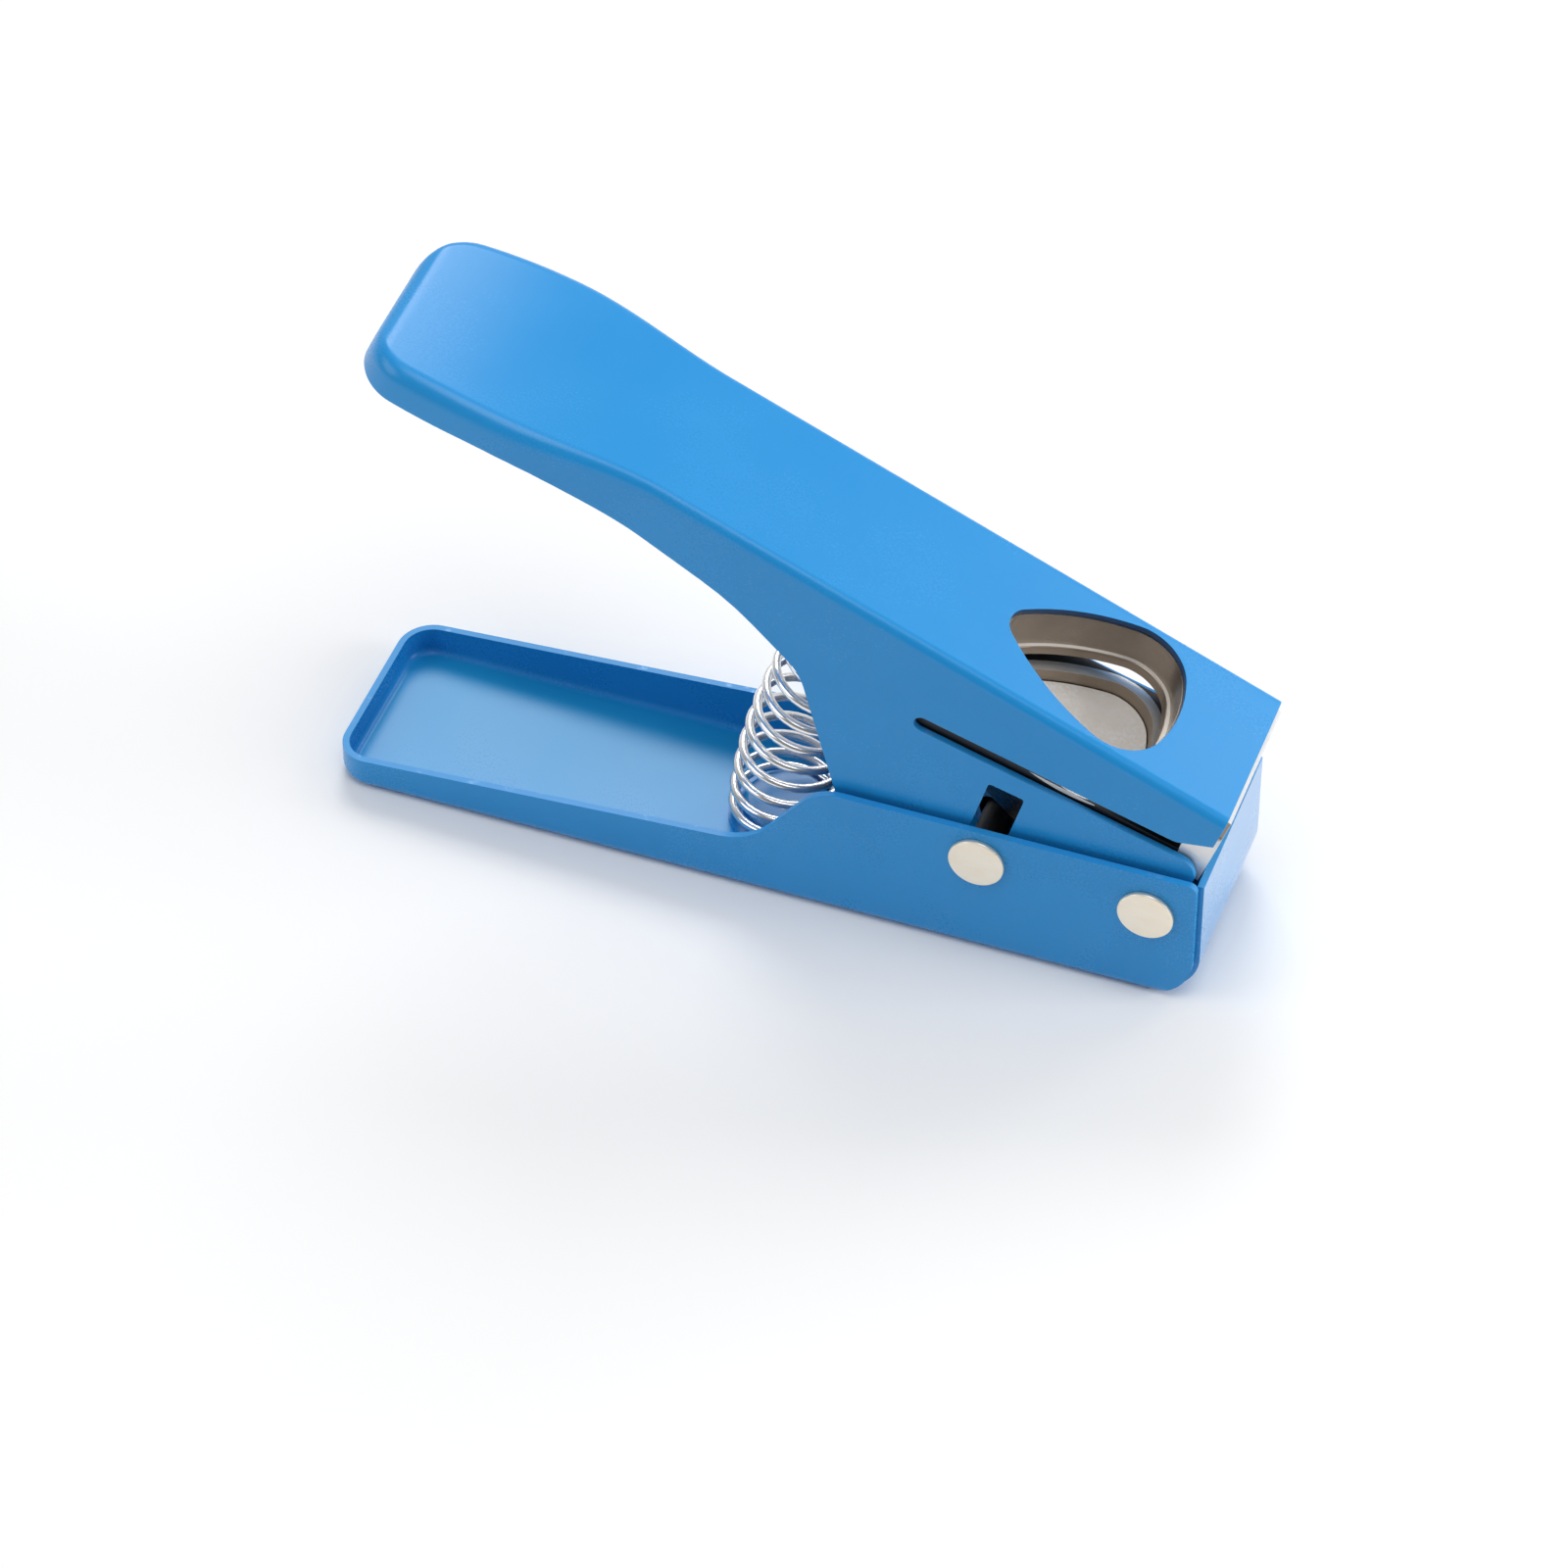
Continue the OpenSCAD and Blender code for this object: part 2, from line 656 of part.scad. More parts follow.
// The die set inside the lever
screw_d = 3;
screw_head_d = 5.5;
screw_head_h = 2;
socket_af = 2.5;       // across the flats of the screws' hexagon sockets
socket_deep = 1.4;
dowel_d = 3;
front_spacer_l = 5.4;
rear_spacer_l = 4.6;
front_fixing_set = 3.2;   // front screws and dowel, behind the plates' front end
die_fixing_x = [plate_front - front_fixing_set, -plate_back + rear_spacer_l / 2];
die_screw_y = 5.2;
die_fixing_reach = 3.2;
die_fixing_top = collar_floor + die_fixing_reach;
// Level of the lever's underside above a place on the die's plane
function roof_level(x) = (top_h - sheet - x * sin(die_slope)) / cos(die_slope);
module at_die_screws() {
    for (x = die_fixing_x, side = [-1, 1])
        translate([x, side * die_screw_y, 0])
            children();
}
module at_die_dowels() {
    for (x = die_fixing_x)
        translate([x, 0, 0])
            children();
}
// Straight holes for the screws and dowels through a plate of the die set
module die_holes() {
    at_die_screws()
        cylinder(d = screw_d + 2 * pin_clear, h = die_fixing_top + seat_clear);
    at_die_dowels()
        cylinder(d = dowel_d + 2 * pin_clear, h = die_fixing_top + seat_clear);
}
module plate(from, to, back, front) {
    translate([-back, -plate_half, from])
        cube([back + front, 2 * plate_half, to - from]);
}
module die_collar() {
    color("#8d8377")
    on_die()
        difference() {
            across(2 * collar_half)
                polygon([[-plate_back, collar_floor], [plate_front, collar_floor],
                         [plate_front, roof_level(plate_front)], [-plate_back, roof_level(-plate_back)]]);
            pick_prism(die_ledge, collar_floor - over, roof_level(-plate_back) + over);
            die_holes();
        }
}
module die_plate() {
    color("#a39a8d")
    on_die()
        difference() {
            plate(die_floor, collar_floor, plate_back, plate_front);
            pick_prism(die_clear, die_floor - over, collar_floor + over);
            die_holes();
        }
}
module spacer(back, front) {
    color("#e4e4e0")
    on_die()
        difference() {
            plate(guide_top, die_floor, back, front);
            die_holes();
        }
}
module front_spacer() {
    spacer(front_spacer_l - plate_front, plate_front);
}
module rear_spacer() {
    spacer(plate_back, rear_spacer_l - plate_back);
}
module guide_plate() {
    color("#a39a8d")
    on_die()
        difference() {
            plate(guide_floor, guide_top, plate_back, plate_front);
            pick_prism(guide_clear, guide_floor - over, guide_top + over);
            die_holes();
            at_die_screws()
                translate([0, 0, guide_floor - over])
                    cylinder(d = screw_head_d + 4 * pin_clear, h = over + screw_head_h + seat_clear);
        }
}
// A socket-head screw, head down at level from, thread up to level to
module socket_screw(from, to) {
    difference() {
        union() {
            translate([0, 0, from])
                cylinder(d = screw_head_d, h = screw_head_h);
            translate([0, 0, from])
                cylinder(d = screw_d, h = to - from);
        }
        translate([0, 0, from - over])
            cylinder(d = socket_af / cos(30), h = over + socket_deep, $fn = 6);
    }
}
module die_screws() {
    color("#3a3a3c")
    on_die()
        at_die_screws()
            socket_screw(guide_floor, die_fixing_top);
}
module die_dowels() {
    color("#c2c2c0")
    on_die()
        at_die_dowels()
            translate([0, 0, guide_floor])
                cylinder(d = dowel_d, h = die_fixing_top - guide_floor);
}

// The punch, its foot on the guide tube, and the screws between them
foot_inset = 2;
punch_screw_reach = 5;
punch_screw_front = 7.4;  // from the plectrum's round end
punch_screw_rear = 5.1;   // from its tip
punch_screw_x = [-pick_set - punch_screw_front, -pick_set - pick_l + punch_screw_rear];
module at_punch_screws() {
    for (x = punch_screw_x)
        translate([x, 0, 0])
            children();
}
module punch_screw_holes() {
    at_punch_screws()
        translate([0, 0, foot_floor - over])
            cylinder(d = screw_d + 2 * pin_clear, h = over + foot_h + punch_screw_reach + seat_clear);
}
module punch() {
    color("#b8b4ac")
    on_die()
        difference() {
            pick_prism(0, foot_top, punch_top);
            punch_screw_holes();
        }
}
module punch_foot() {
    slot_d = guide_tube_d + 2 * guide_clear;
    color("#7f7b76")
    on_die()
        difference() {
            pick_prism(-foot_inset, foot_floor, foot_top);
            translate([-guide_u_mid(die_tilt), 0, guide_w(die_tilt, 0)]) {
                for (side = [-1, 1])
                    translate([side * guide_u_half(die_tilt), 0, 0])
                        cross_bar(slot_d, base_w);
                cube([2 * guide_u_half(die_tilt), base_w, slot_d], center = true);
            }
            punch_screw_holes();
            at_punch_screws()
                translate([0, 0, foot_floor - over])
                    cylinder(d = screw_head_d + 4 * pin_clear, h = over + screw_head_h + seat_clear);
        }
}
module punch_screws() {
    color("#3a3a3c")
    on_die()
        at_punch_screws()
            socket_screw(foot_floor, foot_top + punch_screw_reach);
}

base_shell();
lower_spring_seat();
return_spring();
pivot_rivet();
pivot_tube();
pivot_washers();
guide_rivet();
guide_tube();
lever_shell();
upper_spring_seat();
die_collar();
die_plate();
front_spacer();
rear_spacer();
guide_plate();
die_screws();
die_dowels();
punch();
punch_foot();
punch_screws();
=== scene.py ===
"""Looks of a hand-squeezed punch that cuts guitar picks.

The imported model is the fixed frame. The folded base, the folded lever, the coil spring, the
rivets and the parts that show in the pick window are modelled here. The other solids stay and
get a finish of their own. Shapes are drawn in millimetres and set down in metres.
"""
import math

import bpy
from mathutils import Matrix, Vector


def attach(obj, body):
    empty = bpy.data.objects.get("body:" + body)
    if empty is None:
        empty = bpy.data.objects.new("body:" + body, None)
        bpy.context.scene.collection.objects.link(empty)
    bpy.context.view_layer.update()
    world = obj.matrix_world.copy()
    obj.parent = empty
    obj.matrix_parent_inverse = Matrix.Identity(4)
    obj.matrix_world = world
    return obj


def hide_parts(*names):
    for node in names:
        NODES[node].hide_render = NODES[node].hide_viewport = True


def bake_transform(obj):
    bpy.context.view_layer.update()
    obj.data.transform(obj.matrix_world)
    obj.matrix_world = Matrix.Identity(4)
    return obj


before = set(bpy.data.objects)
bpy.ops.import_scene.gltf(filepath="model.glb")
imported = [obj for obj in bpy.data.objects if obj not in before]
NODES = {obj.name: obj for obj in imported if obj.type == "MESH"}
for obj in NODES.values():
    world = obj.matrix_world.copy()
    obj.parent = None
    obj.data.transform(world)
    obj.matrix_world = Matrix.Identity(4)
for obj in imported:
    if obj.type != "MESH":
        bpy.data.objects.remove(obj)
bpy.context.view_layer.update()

# Sizes in millimetres. The folded base:
SHEET = 1.2
BASE_L = 154.8
BASE_W = 36.0
BASE_FRONT = BASE_L / 2
INNER_HALF = BASE_W / 2 - SHEET
WALL_FRONT = BASE_FRONT - 0.8
WALL_H = 27.3
WALL_RUN = 66.0
WALL_SLOPE = 12.0
WALL_CORNER_R = 1.5
WALL_SHOULDER_R = 9.0
WALL_FOOT_R = 12.0
RIM_REAR_H = 6.1
RIM_FRONT_H = 11.4
TRAY_CORNER_R = 6.0
FLOOR_BEND_R = 2.4
FLAP_H = 26.1
FLAP_BEND_R = 9.4
FLAP_SLIT = 0.5

# The two rivets and the tube that guides the punch
PIVOT_X = BASE_FRONT - 9.1
PIVOT_Z = 18.8
PIVOT_RIVET_R = 2.3
GUIDE_BACK = 29.4
GUIDE_UP = 2.1
GUIDE_X = PIVOT_X - GUIDE_BACK
GUIDE_Z = PIVOT_Z + GUIDE_UP
GUIDE_RIVET_R = 1.9
GUIDE_TUBE_R = 2.75
RIVET_PLAY = 0.05
HEAD_R = 4.85
HEAD_T = 0.95
HEAD_UNDERCUT = 0.28
HEAD_ROUND = 0.25
HEAD_DOME = ((0.5, 0.0), (1.2, 0.05), (1.2, 0.03))  # inset and rise of each step

# The folded lever, measured back and up from the pivot
LIFT = 23.5
LEVER_HALF = INNER_HALF - 0.9
LEVER_BORE_R = 3.55
TOP_H = 25.4
NOSE = 2.1
CHEEK_NOSE = 5.2
CHEEK_NOSE_R = 9.0
CHEEK_DROP = PIVOT_Z - SHEET - 1.7
HEEL_BACK = 53.0
HEEL_R = 3.0
HEEL_SLOPE = 1.29
THROAT_R = 12.0
THROAT_SLOPE = 0.4
NECK_BACK = 85.5
NECK_R = 45.0
NECK_SLOPE = 0.138
WAIST_BACK = 128.0
WAIST_UP = 17.6
WAIST_R = 55.0
TAIL_BACK = 156.6
TAIL_SLOPE = 0.16
TAIL_CORNER_R = 7.5
HANDLE_HALF = 19.5
HANDLE_SIDE_R = 117.0
HANDLE_FOLD_R = 3.0
FOLD_R = 1.9
FLARE_START = 103.0
FLARE_RUN = 29.0
DROOP_START = 103.0
DROOP_R = 248.2
TUBE_PLAY = 0.15
TUBE_WINDOW_R = 0.6

# The pick, and the die set that cuts it
PICK_L = 29.4
PICK_W = 24.8
PICK_TIP_R = 3.0
PICK_SHOULDER_R = 7.6
PICK_END_R = PICK_W * 0.9
PICK_SIDE_R = PICK_L * 1.5
PICK_SET = 11.6
WINDOW_MARGIN = 1.15
DIE_SLOPE = 4.5
DIE_LEDGE = 0.9
DIE_PLAY = 0.06
GUIDE_PLAY = 0.1
GUIDE_TOP = 13.6
GUIDE_FLOOR = GUIDE_TOP - 4.7
DIE_FLOOR = GUIDE_TOP + 4.2
COLLAR_FLOOR = DIE_FLOOR + 1.8
COLLAR_HALF = LEVER_HALF - FOLD_R
PUNCH_TOP = GUIDE_TOP - 2.7
PUNCH_H = 13.5
PLATE_BACK = 50.5
PLATE_FRONT = 4.8
PLATE_HALF = LEVER_HALF - SHEET - 0.2
FIXING_X = (PLATE_FRONT - 3.2, -PLATE_BACK + 2.3)
FIXING_Y = 5.2
FIXING_R = 1.55
SCREW_SEAT_R = 2.85
SCREW_SEAT_H = 2.05

# The feed slot and its flared mouth
SLOT_SLOPE = 6.15
SLOT_FLOOR = 13.1
SLOT_H = 3.0
SLOT_ROOF = SLOT_FLOOR + SLOT_H
SLOT_BACK = PLATE_BACK - 2.4
MOUTH_LIP = 2.7
MOUTH_LIP_R = 3.0
MOUTH_DROP = 4.0
MOUTH_ROOF_START = -1.2
MOUTH_ROOF_RISE = 0.48
MOUTH_ROOF_R = 4.0

# Where the die set is polished or lapped bright, and where a highlight is painted on
SKIM = 0.03
LIP_DEPTH = 1.3
RING_WIDTH = 2.0
LENS_HIGHLIGHT_X = -21.6
LENS_HIGHLIGHT_HALF = 6.4
LENS_HIGHLIGHT_DEPTH = 0.8

# The coil spring
SPRING_D = 19.8
WIRE_D = 1.6
SPRING_TURNS = 14
SPRING_BACK = 69.5
SPRING_TOP_BACK = 64.7
SPRING_REST = SHEET + 0.8 + WIRE_D / 2 + 0.15
END_PITCH = WIRE_D + 0.95

# Frames: millimetres on the base, the lever, the die, the feed slot and the guide tube's window
METRES = Matrix.Scale(0.001, 4)


def tilted(angle):
    """The frame round the pivot, tilted by an angle, in millimetres."""
    place = Matrix.Translation((PIVOT_X, 0, PIVOT_Z))
    return METRES @ place @ Matrix.Rotation(math.radians(angle), 4, "Y")


BASE = METRES
LEVER = tilted(LIFT)
DIE = tilted(LIFT - DIE_SLOPE)
SLOT = tilted(LIFT - SLOT_SLOPE)
GUIDE = tilted(LIFT / 2 + math.degrees(math.atan2(GUIDE_UP, GUIDE_BACK)))
SIDEWAYS = Matrix.Rotation(math.radians(90), 4, "X")


# Outlines

def arc(centre, r, start, turn, step=5):
    """Points along an arc, angles in degrees."""
    n = max(2, math.ceil(abs(turn) / step))
    angles = [math.radians(start + turn * i / n) for i in range(n + 1)]
    return [(centre[0] + r * math.cos(a), centre[1] + r * math.sin(a)) for a in angles]


def rounded(corners):
    """An outline from corners (x, y, radius); radius 0 leaves the corner sharp."""
    points = []
    for i, (x, y, r) in enumerate(corners):
        at = Vector((x, y))
        if r == 0:
            points.append((x, y))
            continue
        u = (Vector(corners[i - 1][:2]) - at).normalized()
        v = (Vector(corners[(i + 1) % len(corners)][:2]) - at).normalized()
        half = math.acos(u.dot(v)) / 2
        centre = at + (u + v).normalized() * r / math.sin(half)
        first = at + u * r / math.tan(half) - centre
        last = at + v * r / math.tan(half) - centre
        start = math.degrees(math.atan2(first.y, first.x))
        turn = math.degrees(math.atan2(last.y, last.x)) - start
        turn -= 360 * round(turn / 360)
        # small rounds get fewer points, so that their edges can still be eased
        points += arc(centre, r, start, turn, 5 if r > 2 else 15)
    return points


def pick_outline(grow):
    """The plectrum, tip to the rear, every arc moved outwards by grow."""
    tip = Vector((-PICK_SET - PICK_L + PICK_TIP_R, 0))
    end_centre = Vector((-PICK_SET - PICK_END_R, 0))
    shoulder_y = PICK_W / 2 - PICK_SHOULDER_R
    reach = math.sqrt((PICK_END_R - PICK_SHOULDER_R) ** 2 - shoulder_y ** 2)
    shoulder = Vector((end_centre.x + reach, shoulder_y))
    d = (shoulder - tip).length
    a, b = PICK_SIDE_R - PICK_TIP_R, PICK_SIDE_R - PICK_SHOULDER_R
    along = (a * a - b * b + d * d) / (2 * d)
    axis = (shoulder - tip).normalized()
    side_centre = tip + axis * along + Vector((axis.y, -axis.x)) * math.sqrt(a * a - along * along)

    def heading(start, to):
        return math.degrees(math.atan2(to.y - start.y, to.x - start.x))

    at_shoulder = heading(end_centre, shoulder)
    at_side = heading(side_centre, shoulder)
    at_tip = heading(side_centre, tip)
    half = arc(end_centre, PICK_END_R + grow, 0, at_shoulder)
    half += arc(shoulder, PICK_SHOULDER_R + grow, at_shoulder, at_side - at_shoulder)
    half += arc(side_centre, PICK_SIDE_R + grow, at_side, at_tip - at_side, 3)
    half += arc(tip, PICK_TIP_R + grow, at_tip, 180 - at_tip)
    kept = [half[0]]
    for p in half[1:]:
        if math.dist(p, kept[-1]) > 0.01:
            kept.append(p)
    return kept + [(x, -y) for x, y in kept[-2:0:-1]]


def smooth_step(t):
    t = min(1, max(0, t))
    return t * t * (3 - 2 * t)


def round_drop(r, e):
    """How far a quarter round of radius r has fallen at distance e past its start."""
    return 0 if e <= 0 else r - math.sqrt(max(0, r * r - min(e, r) ** 2))


# Modelling by operators

def deselect():
    bpy.ops.object.select_all(action="DESELECT")


def take(piece):
    deselect()
    piece.select_set(True)
    bpy.context.view_layer.objects.active = piece


def mark(piece, kind, test):
    """Enters edit mode with the vertices, edges or faces that pass a test selected."""
    take(piece)
    bpy.ops.object.mode_set(mode="EDIT")
    bpy.ops.mesh.select_mode(type=kind)
    bpy.ops.mesh.select_all(action="DESELECT")
    bpy.ops.object.mode_set(mode="OBJECT")
    mesh = piece.data
    parts = {"VERT": mesh.vertices, "EDGE": mesh.edges, "FACE": mesh.polygons}[kind]
    for part in parts:
        part.select = test(part)
    bpy.ops.object.mode_set(mode="EDIT")


def every(part):
    return True


def edge_ends(piece, edge):
    return [piece.data.vertices[i].co for i in edge.vertices]


def leave_edit():
    bpy.ops.object.mode_set(mode="OBJECT")


def dress(piece, *finishes):
    for finish in finishes:
        piece.data.materials.append(finish)


def join(piece, other):
    take(piece)
    other.select_set(True)
    bpy.ops.object.join()


def face_outwards(piece):
    """Merges doubles and turns every face of a closed shape outwards."""
    mark(piece, "FACE", every)
    bpy.ops.mesh.remove_doubles(threshold=0.0005)
    bpy.ops.mesh.normals_make_consistent(inside=False)
    leave_edit()


def turn_sheet(sheet, choice, axis):
    """Turns an open sheet so that the face with the highest choice looks along an axis."""
    mark(sheet, "FACE", every)
    bpy.ops.mesh.normals_make_consistent(inside=False)
    leave_edit()
    if max(sheet.data.polygons, key=choice).normal[axis] < 0:
        mark(sheet, "FACE", every)
        bpy.ops.mesh.flip_normals()
        leave_edit()


def modify(piece, kind, **settings):
    modifier = piece.modifiers.new(kind.lower(), kind)
    for key, value in settings.items():
        setattr(modifier, key, value)
    take(piece)
    bpy.ops.object.modifier_apply(modifier=modifier.name)


def prism(outline, low, high, turn=None):
    """A closed outline drawn flat and extruded from one level to another."""
    deselect()
    bpy.ops.mesh.primitive_circle_add(vertices=len(outline), radius=1, fill_type="NGON")
    piece = bpy.context.object
    for vertex, (x, y) in zip(piece.data.vertices, outline):
        vertex.co = (x, y, low)
    mark(piece, "FACE", every)
    bpy.ops.mesh.extrude_region_move(TRANSFORM_OT_translate={"value": (0, 0, high - low)})
    leave_edit()
    if turn:
        piece.data.transform(turn)
    face_outwards(piece)
    return piece


def block(low, high):
    """A box between two corners, as a start for a shape or a cut."""
    deselect()
    bpy.ops.mesh.primitive_cube_add(size=1)
    piece = bpy.context.object
    low, high = Vector(low), Vector(high)
    for vertex in piece.data.vertices:
        vertex.co = [(a + b) / 2 + c * (b - a) for a, b, c in zip(low, high, vertex.co)]
    return piece


def cross_bar(x, z, r, width):
    """A round bar along Y, as a start for a bore."""
    deselect()
    bpy.ops.mesh.primitive_cylinder_add(vertices=64, radius=r, depth=width)
    piece = bpy.context.object
    piece.data.transform(Matrix.Translation((x, 0, z)) @ SIDEWAYS)
    return piece


def carve(piece, cutter, operation="DIFFERENCE", slot=1):
    """Cuts a piece with another shape; the cut faces get the finish in a slot of the piece."""
    cutter.data.materials.clear()
    dress(cutter, *piece.data.materials)
    if len(piece.data.materials) > 1:
        for face in cutter.data.polygons:
            face.material_index = slot
    modify(piece, "BOOLEAN", object=cutter, operation=operation, solver="EXACT")
    bpy.data.objects.remove(cutter)


def clear_slivers(piece, sliver):
    """Merges the tiny edges and faces that cuts leave behind."""
    mark(piece, "VERT", every)
    bpy.ops.mesh.remove_doubles(threshold=sliver)
    bpy.ops.mesh.dissolve_degenerate(threshold=sliver / 4)
    leave_edit()


def ease(piece, width, angle=40, segments=2, sliver=0.02):
    """Rounds the sharp edges of a piece."""
    clear_slivers(piece, sliver)
    modify(piece, "BEVEL", width=width, segments=segments, limit_method="ANGLE",
           angle_limit=math.radians(angle), use_clamp_overlap=True, loop_slide=False)


def set_down(piece, name, place, body, *stands_for, slot=None):
    """Puts a finished piece in its place on the part and lets it ride on a body."""
    piece.name = name
    piece.data.name = name
    piece.data.transform(place)
    take(piece)
    bpy.ops.object.shade_smooth_by_angle(angle=math.radians(32))
    modify(piece, "WEIGHTED_NORMAL", keep_sharp=True, weight=100)
    if body:
        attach(piece, body)
    if stands_for:
        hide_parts(*stands_for)
    return piece


# Finishes

class Tone:
    """A socket's value that takes part in Python arithmetic."""

    def __init__(self, nodes, socket):
        self.nodes = nodes
        self.socket = socket

    def _math(self, operation, a, b):
        return self.nodes.node("ShaderNodeMath", {"operation": operation}, {0: a, 1: b})

    def __add__(self, other):
        return self._math("ADD", self, other)

    def __radd__(self, other):
        return self._math("ADD", other, self)

    def __sub__(self, other):
        return self._math("SUBTRACT", self, other)

    def __rsub__(self, other):
        return self._math("SUBTRACT", other, self)

    def __mul__(self, other):
        return self._math("MULTIPLY", self, other)

    def __rmul__(self, other):
        return self._math("MULTIPLY", other, self)


class Nodes:
    """The node tree of a material or a world, written as expressions."""

    def __init__(self, owner):
        owner.use_nodes = True
        self.tree = owner.node_tree
        self.tree.nodes.clear()

    def node(self, kind, settings, inputs, output=0):
        made = self.tree.nodes.new(kind)
        for key, value in settings.items():
            if key == "stops":
                self.ramp_stops(made.color_ramp, value)
            else:
                setattr(made, key, value)
        for key, value in inputs.items():
            if isinstance(value, Tone):
                self.tree.links.new(value.socket, made.inputs[key])
            else:
                made.inputs[key].default_value = value
        return Tone(self, made.outputs[output]) if made.outputs else None

    def ramp_stops(self, ramp, stops):
        while len(ramp.elements) < len(stops):
            ramp.elements.new(1)
        for element, (position, colour) in zip(ramp.elements, stops):
            element.position = position
            element.color = colour


class Finish(Nodes):
    """A material whose patterns stand still on the piece."""

    def __init__(self, name):
        self.material = bpy.data.materials.new(name)
        super().__init__(self.material)
        self.place = self.node("ShaderNodeTexCoord", {}, {}, "Object")

    def noise(self, scale, detail=2.0, rough=0.5, stretch=None):
        where = self.place
        if stretch:
            where = self.node("ShaderNodeMapping", {}, {"Vector": where, "Scale": stretch})
        return self.node("ShaderNodeTexNoise", {},
                         {"Vector": where, "Scale": scale, "Detail": detail, "Roughness": rough})

    def cells(self, scale):
        return self.node("ShaderNodeTexVoronoi", {}, {"Vector": self.place, "Scale": scale},
                         "Distance")

    def ramp(self, value, *stops):
        return self.node("ShaderNodeValToRGB", {"stops": [(p, grey(v)) for p, v in stops]},
                         {"Fac": value})

    def mix(self, share, a, b):
        return self.node("ShaderNodeMix", {"data_type": "RGBA"}, {0: share, 6: a, 7: b}, 2)

    def bump(self, height, distance, strength):
        return self.node("ShaderNodeBump", {},
                         {"Height": height, "Distance": distance, "Strength": strength})

    def set(self, **values):
        """Ends the tree in one surface with these values, and returns the material."""
        inputs = {key.replace("_", " "): value for key, value in values.items()}
        surface = self.node("ShaderNodeBsdfPrincipled", {}, inputs)
        self.node("ShaderNodeOutputMaterial", {}, {0: surface})
        return self.material


def grey(v):
    return (v, v, v, 1)


def paint(name, colour, pale, roughness, gloss=0.0):
    """Satin powder paint: a fine pebbled skin with slow drifts of tone, glossy where rubbed."""
    f = Finish(name)
    drift = f.ramp(f.noise(28, 3), (0.35, 0), (0.65, 1))
    pebble = f.noise(2600, 2, 0.6)
    skin = f.mix(drift * 0.5 + pebble * 0.25, colour, pale)
    return f.set(Base_Color=skin, Roughness=roughness + 0.05 * drift + 0.06 * pebble,
                 Specular_IOR_Level=0.38, Coat_Weight=gloss, Coat_Roughness=0.08,
                 Normal=f.bump(pebble, 0.00003, 0.35))


def cut_paint(name, colour, bare):
    """Paint pulled thin on the cut edges, with bare metal in a few places."""
    f = Finish(name)
    thin = f.ramp(f.noise(420, 4, 0.65), (0.60, 0), (0.74, 1))
    pebble = f.noise(2600, 2, 0.6)
    return f.set(Base_Color=f.mix(thin * 0.25, colour, bare), Metallic=thin * 0.2,
                 Roughness=0.42 - 0.1 * thin, Normal=f.bump(pebble, 0.00003, 0.3))


def plated(name, colour, shade, roughness, smear, metal=1.0):
    """Bright plated metal with faint wiping smears."""
    f = Finish(name)
    wipe = f.ramp(f.noise(160, 4, 0.6, (1.0, 1.0, 3.0)), (0.4, 0), (0.62, 1))
    fleck = f.ramp(f.noise(1400, 3, 0.7), (0.62, 0), (0.72, 1))
    return f.set(Base_Color=f.mix(wipe * 0.4 + fleck * 0.35, colour, shade), Metallic=metal,
                 Roughness=roughness + smear * wipe + 0.1 * fleck,
                 Normal=f.bump(fleck, 0.00002, 0.25))


def ground(name, colour, shade, roughness, lines, metal=1.0):
    """Ground tool steel: fine parallel grinding lines and slow staining."""
    f = Finish(name)
    grain = f.noise(900, 3, 0.7, lines)
    stain = f.ramp(f.noise(70, 4, 0.6), (0.35, 0), (0.7, 1))
    return f.set(Base_Color=f.mix(stain * 0.6 + grain * 0.25, colour, shade), Metallic=metal,
                 Roughness=roughness + 0.16 * grain + 0.06 * stain,
                 Normal=f.bump(grain, 0.00003, 0.4))


def pitted(name, colour, glint_tone, dark):
    """The punch's struck face: pale, mottled, with dark pits and smoother flecks whose brighter
    tone is a painted glint.
    """
    f = Finish(name)
    mottle = f.noise(420, 5, 0.65)
    patch = f.ramp(f.noise(110, 2), (0.38, 0), (0.54, 1))
    fleck = f.ramp(f.noise(1300, 3, 0.7), (0.50, 0), (0.58, 1)) * patch
    pit = f.ramp(f.cells(900), (0.05, 1), (0.22, 0))
    # the flecks take a brighter tone as painted glints
    tone = f.mix(fleck, f.mix(mottle * 0.6, colour, dark), glint_tone)
    return f.set(Base_Color=f.mix(pit * 0.4, tone, dark),
                 Roughness=0.5 + 0.14 * mottle - 0.2 * fleck,
                 Normal=f.bump(mottle * 0.3 + fleck * 0.5 - pit * 0.4, 0.0001, 0.5))


BLUE = (0.013, 0.270, 0.660, 1)
BLUE_PALE = (0.022, 0.310, 0.720, 1)
BARE = (0.62, 0.66, 0.72, 1)

blue_paint = paint("satin_blue_paint", BLUE, BLUE_PALE, 0.21)
# the tray floor's paler blue is a painted sheen
tray_floor_sheen_paint = paint("tray_floor_painted_sheen", (0.011, 0.318, 0.655, 1), (0.018, 0.356, 0.712, 1), 0.24)
flap_paint = paint("glossy_flap_paint", BLUE, BLUE_PALE, 0.21, 0.9)
# cut edges: thin paint with bare spots, their paler blue partly a painted edge highlight
blue_edge_and_highlight = cut_paint("blue_cut_edge_painted_highlight", BLUE_PALE, BARE)
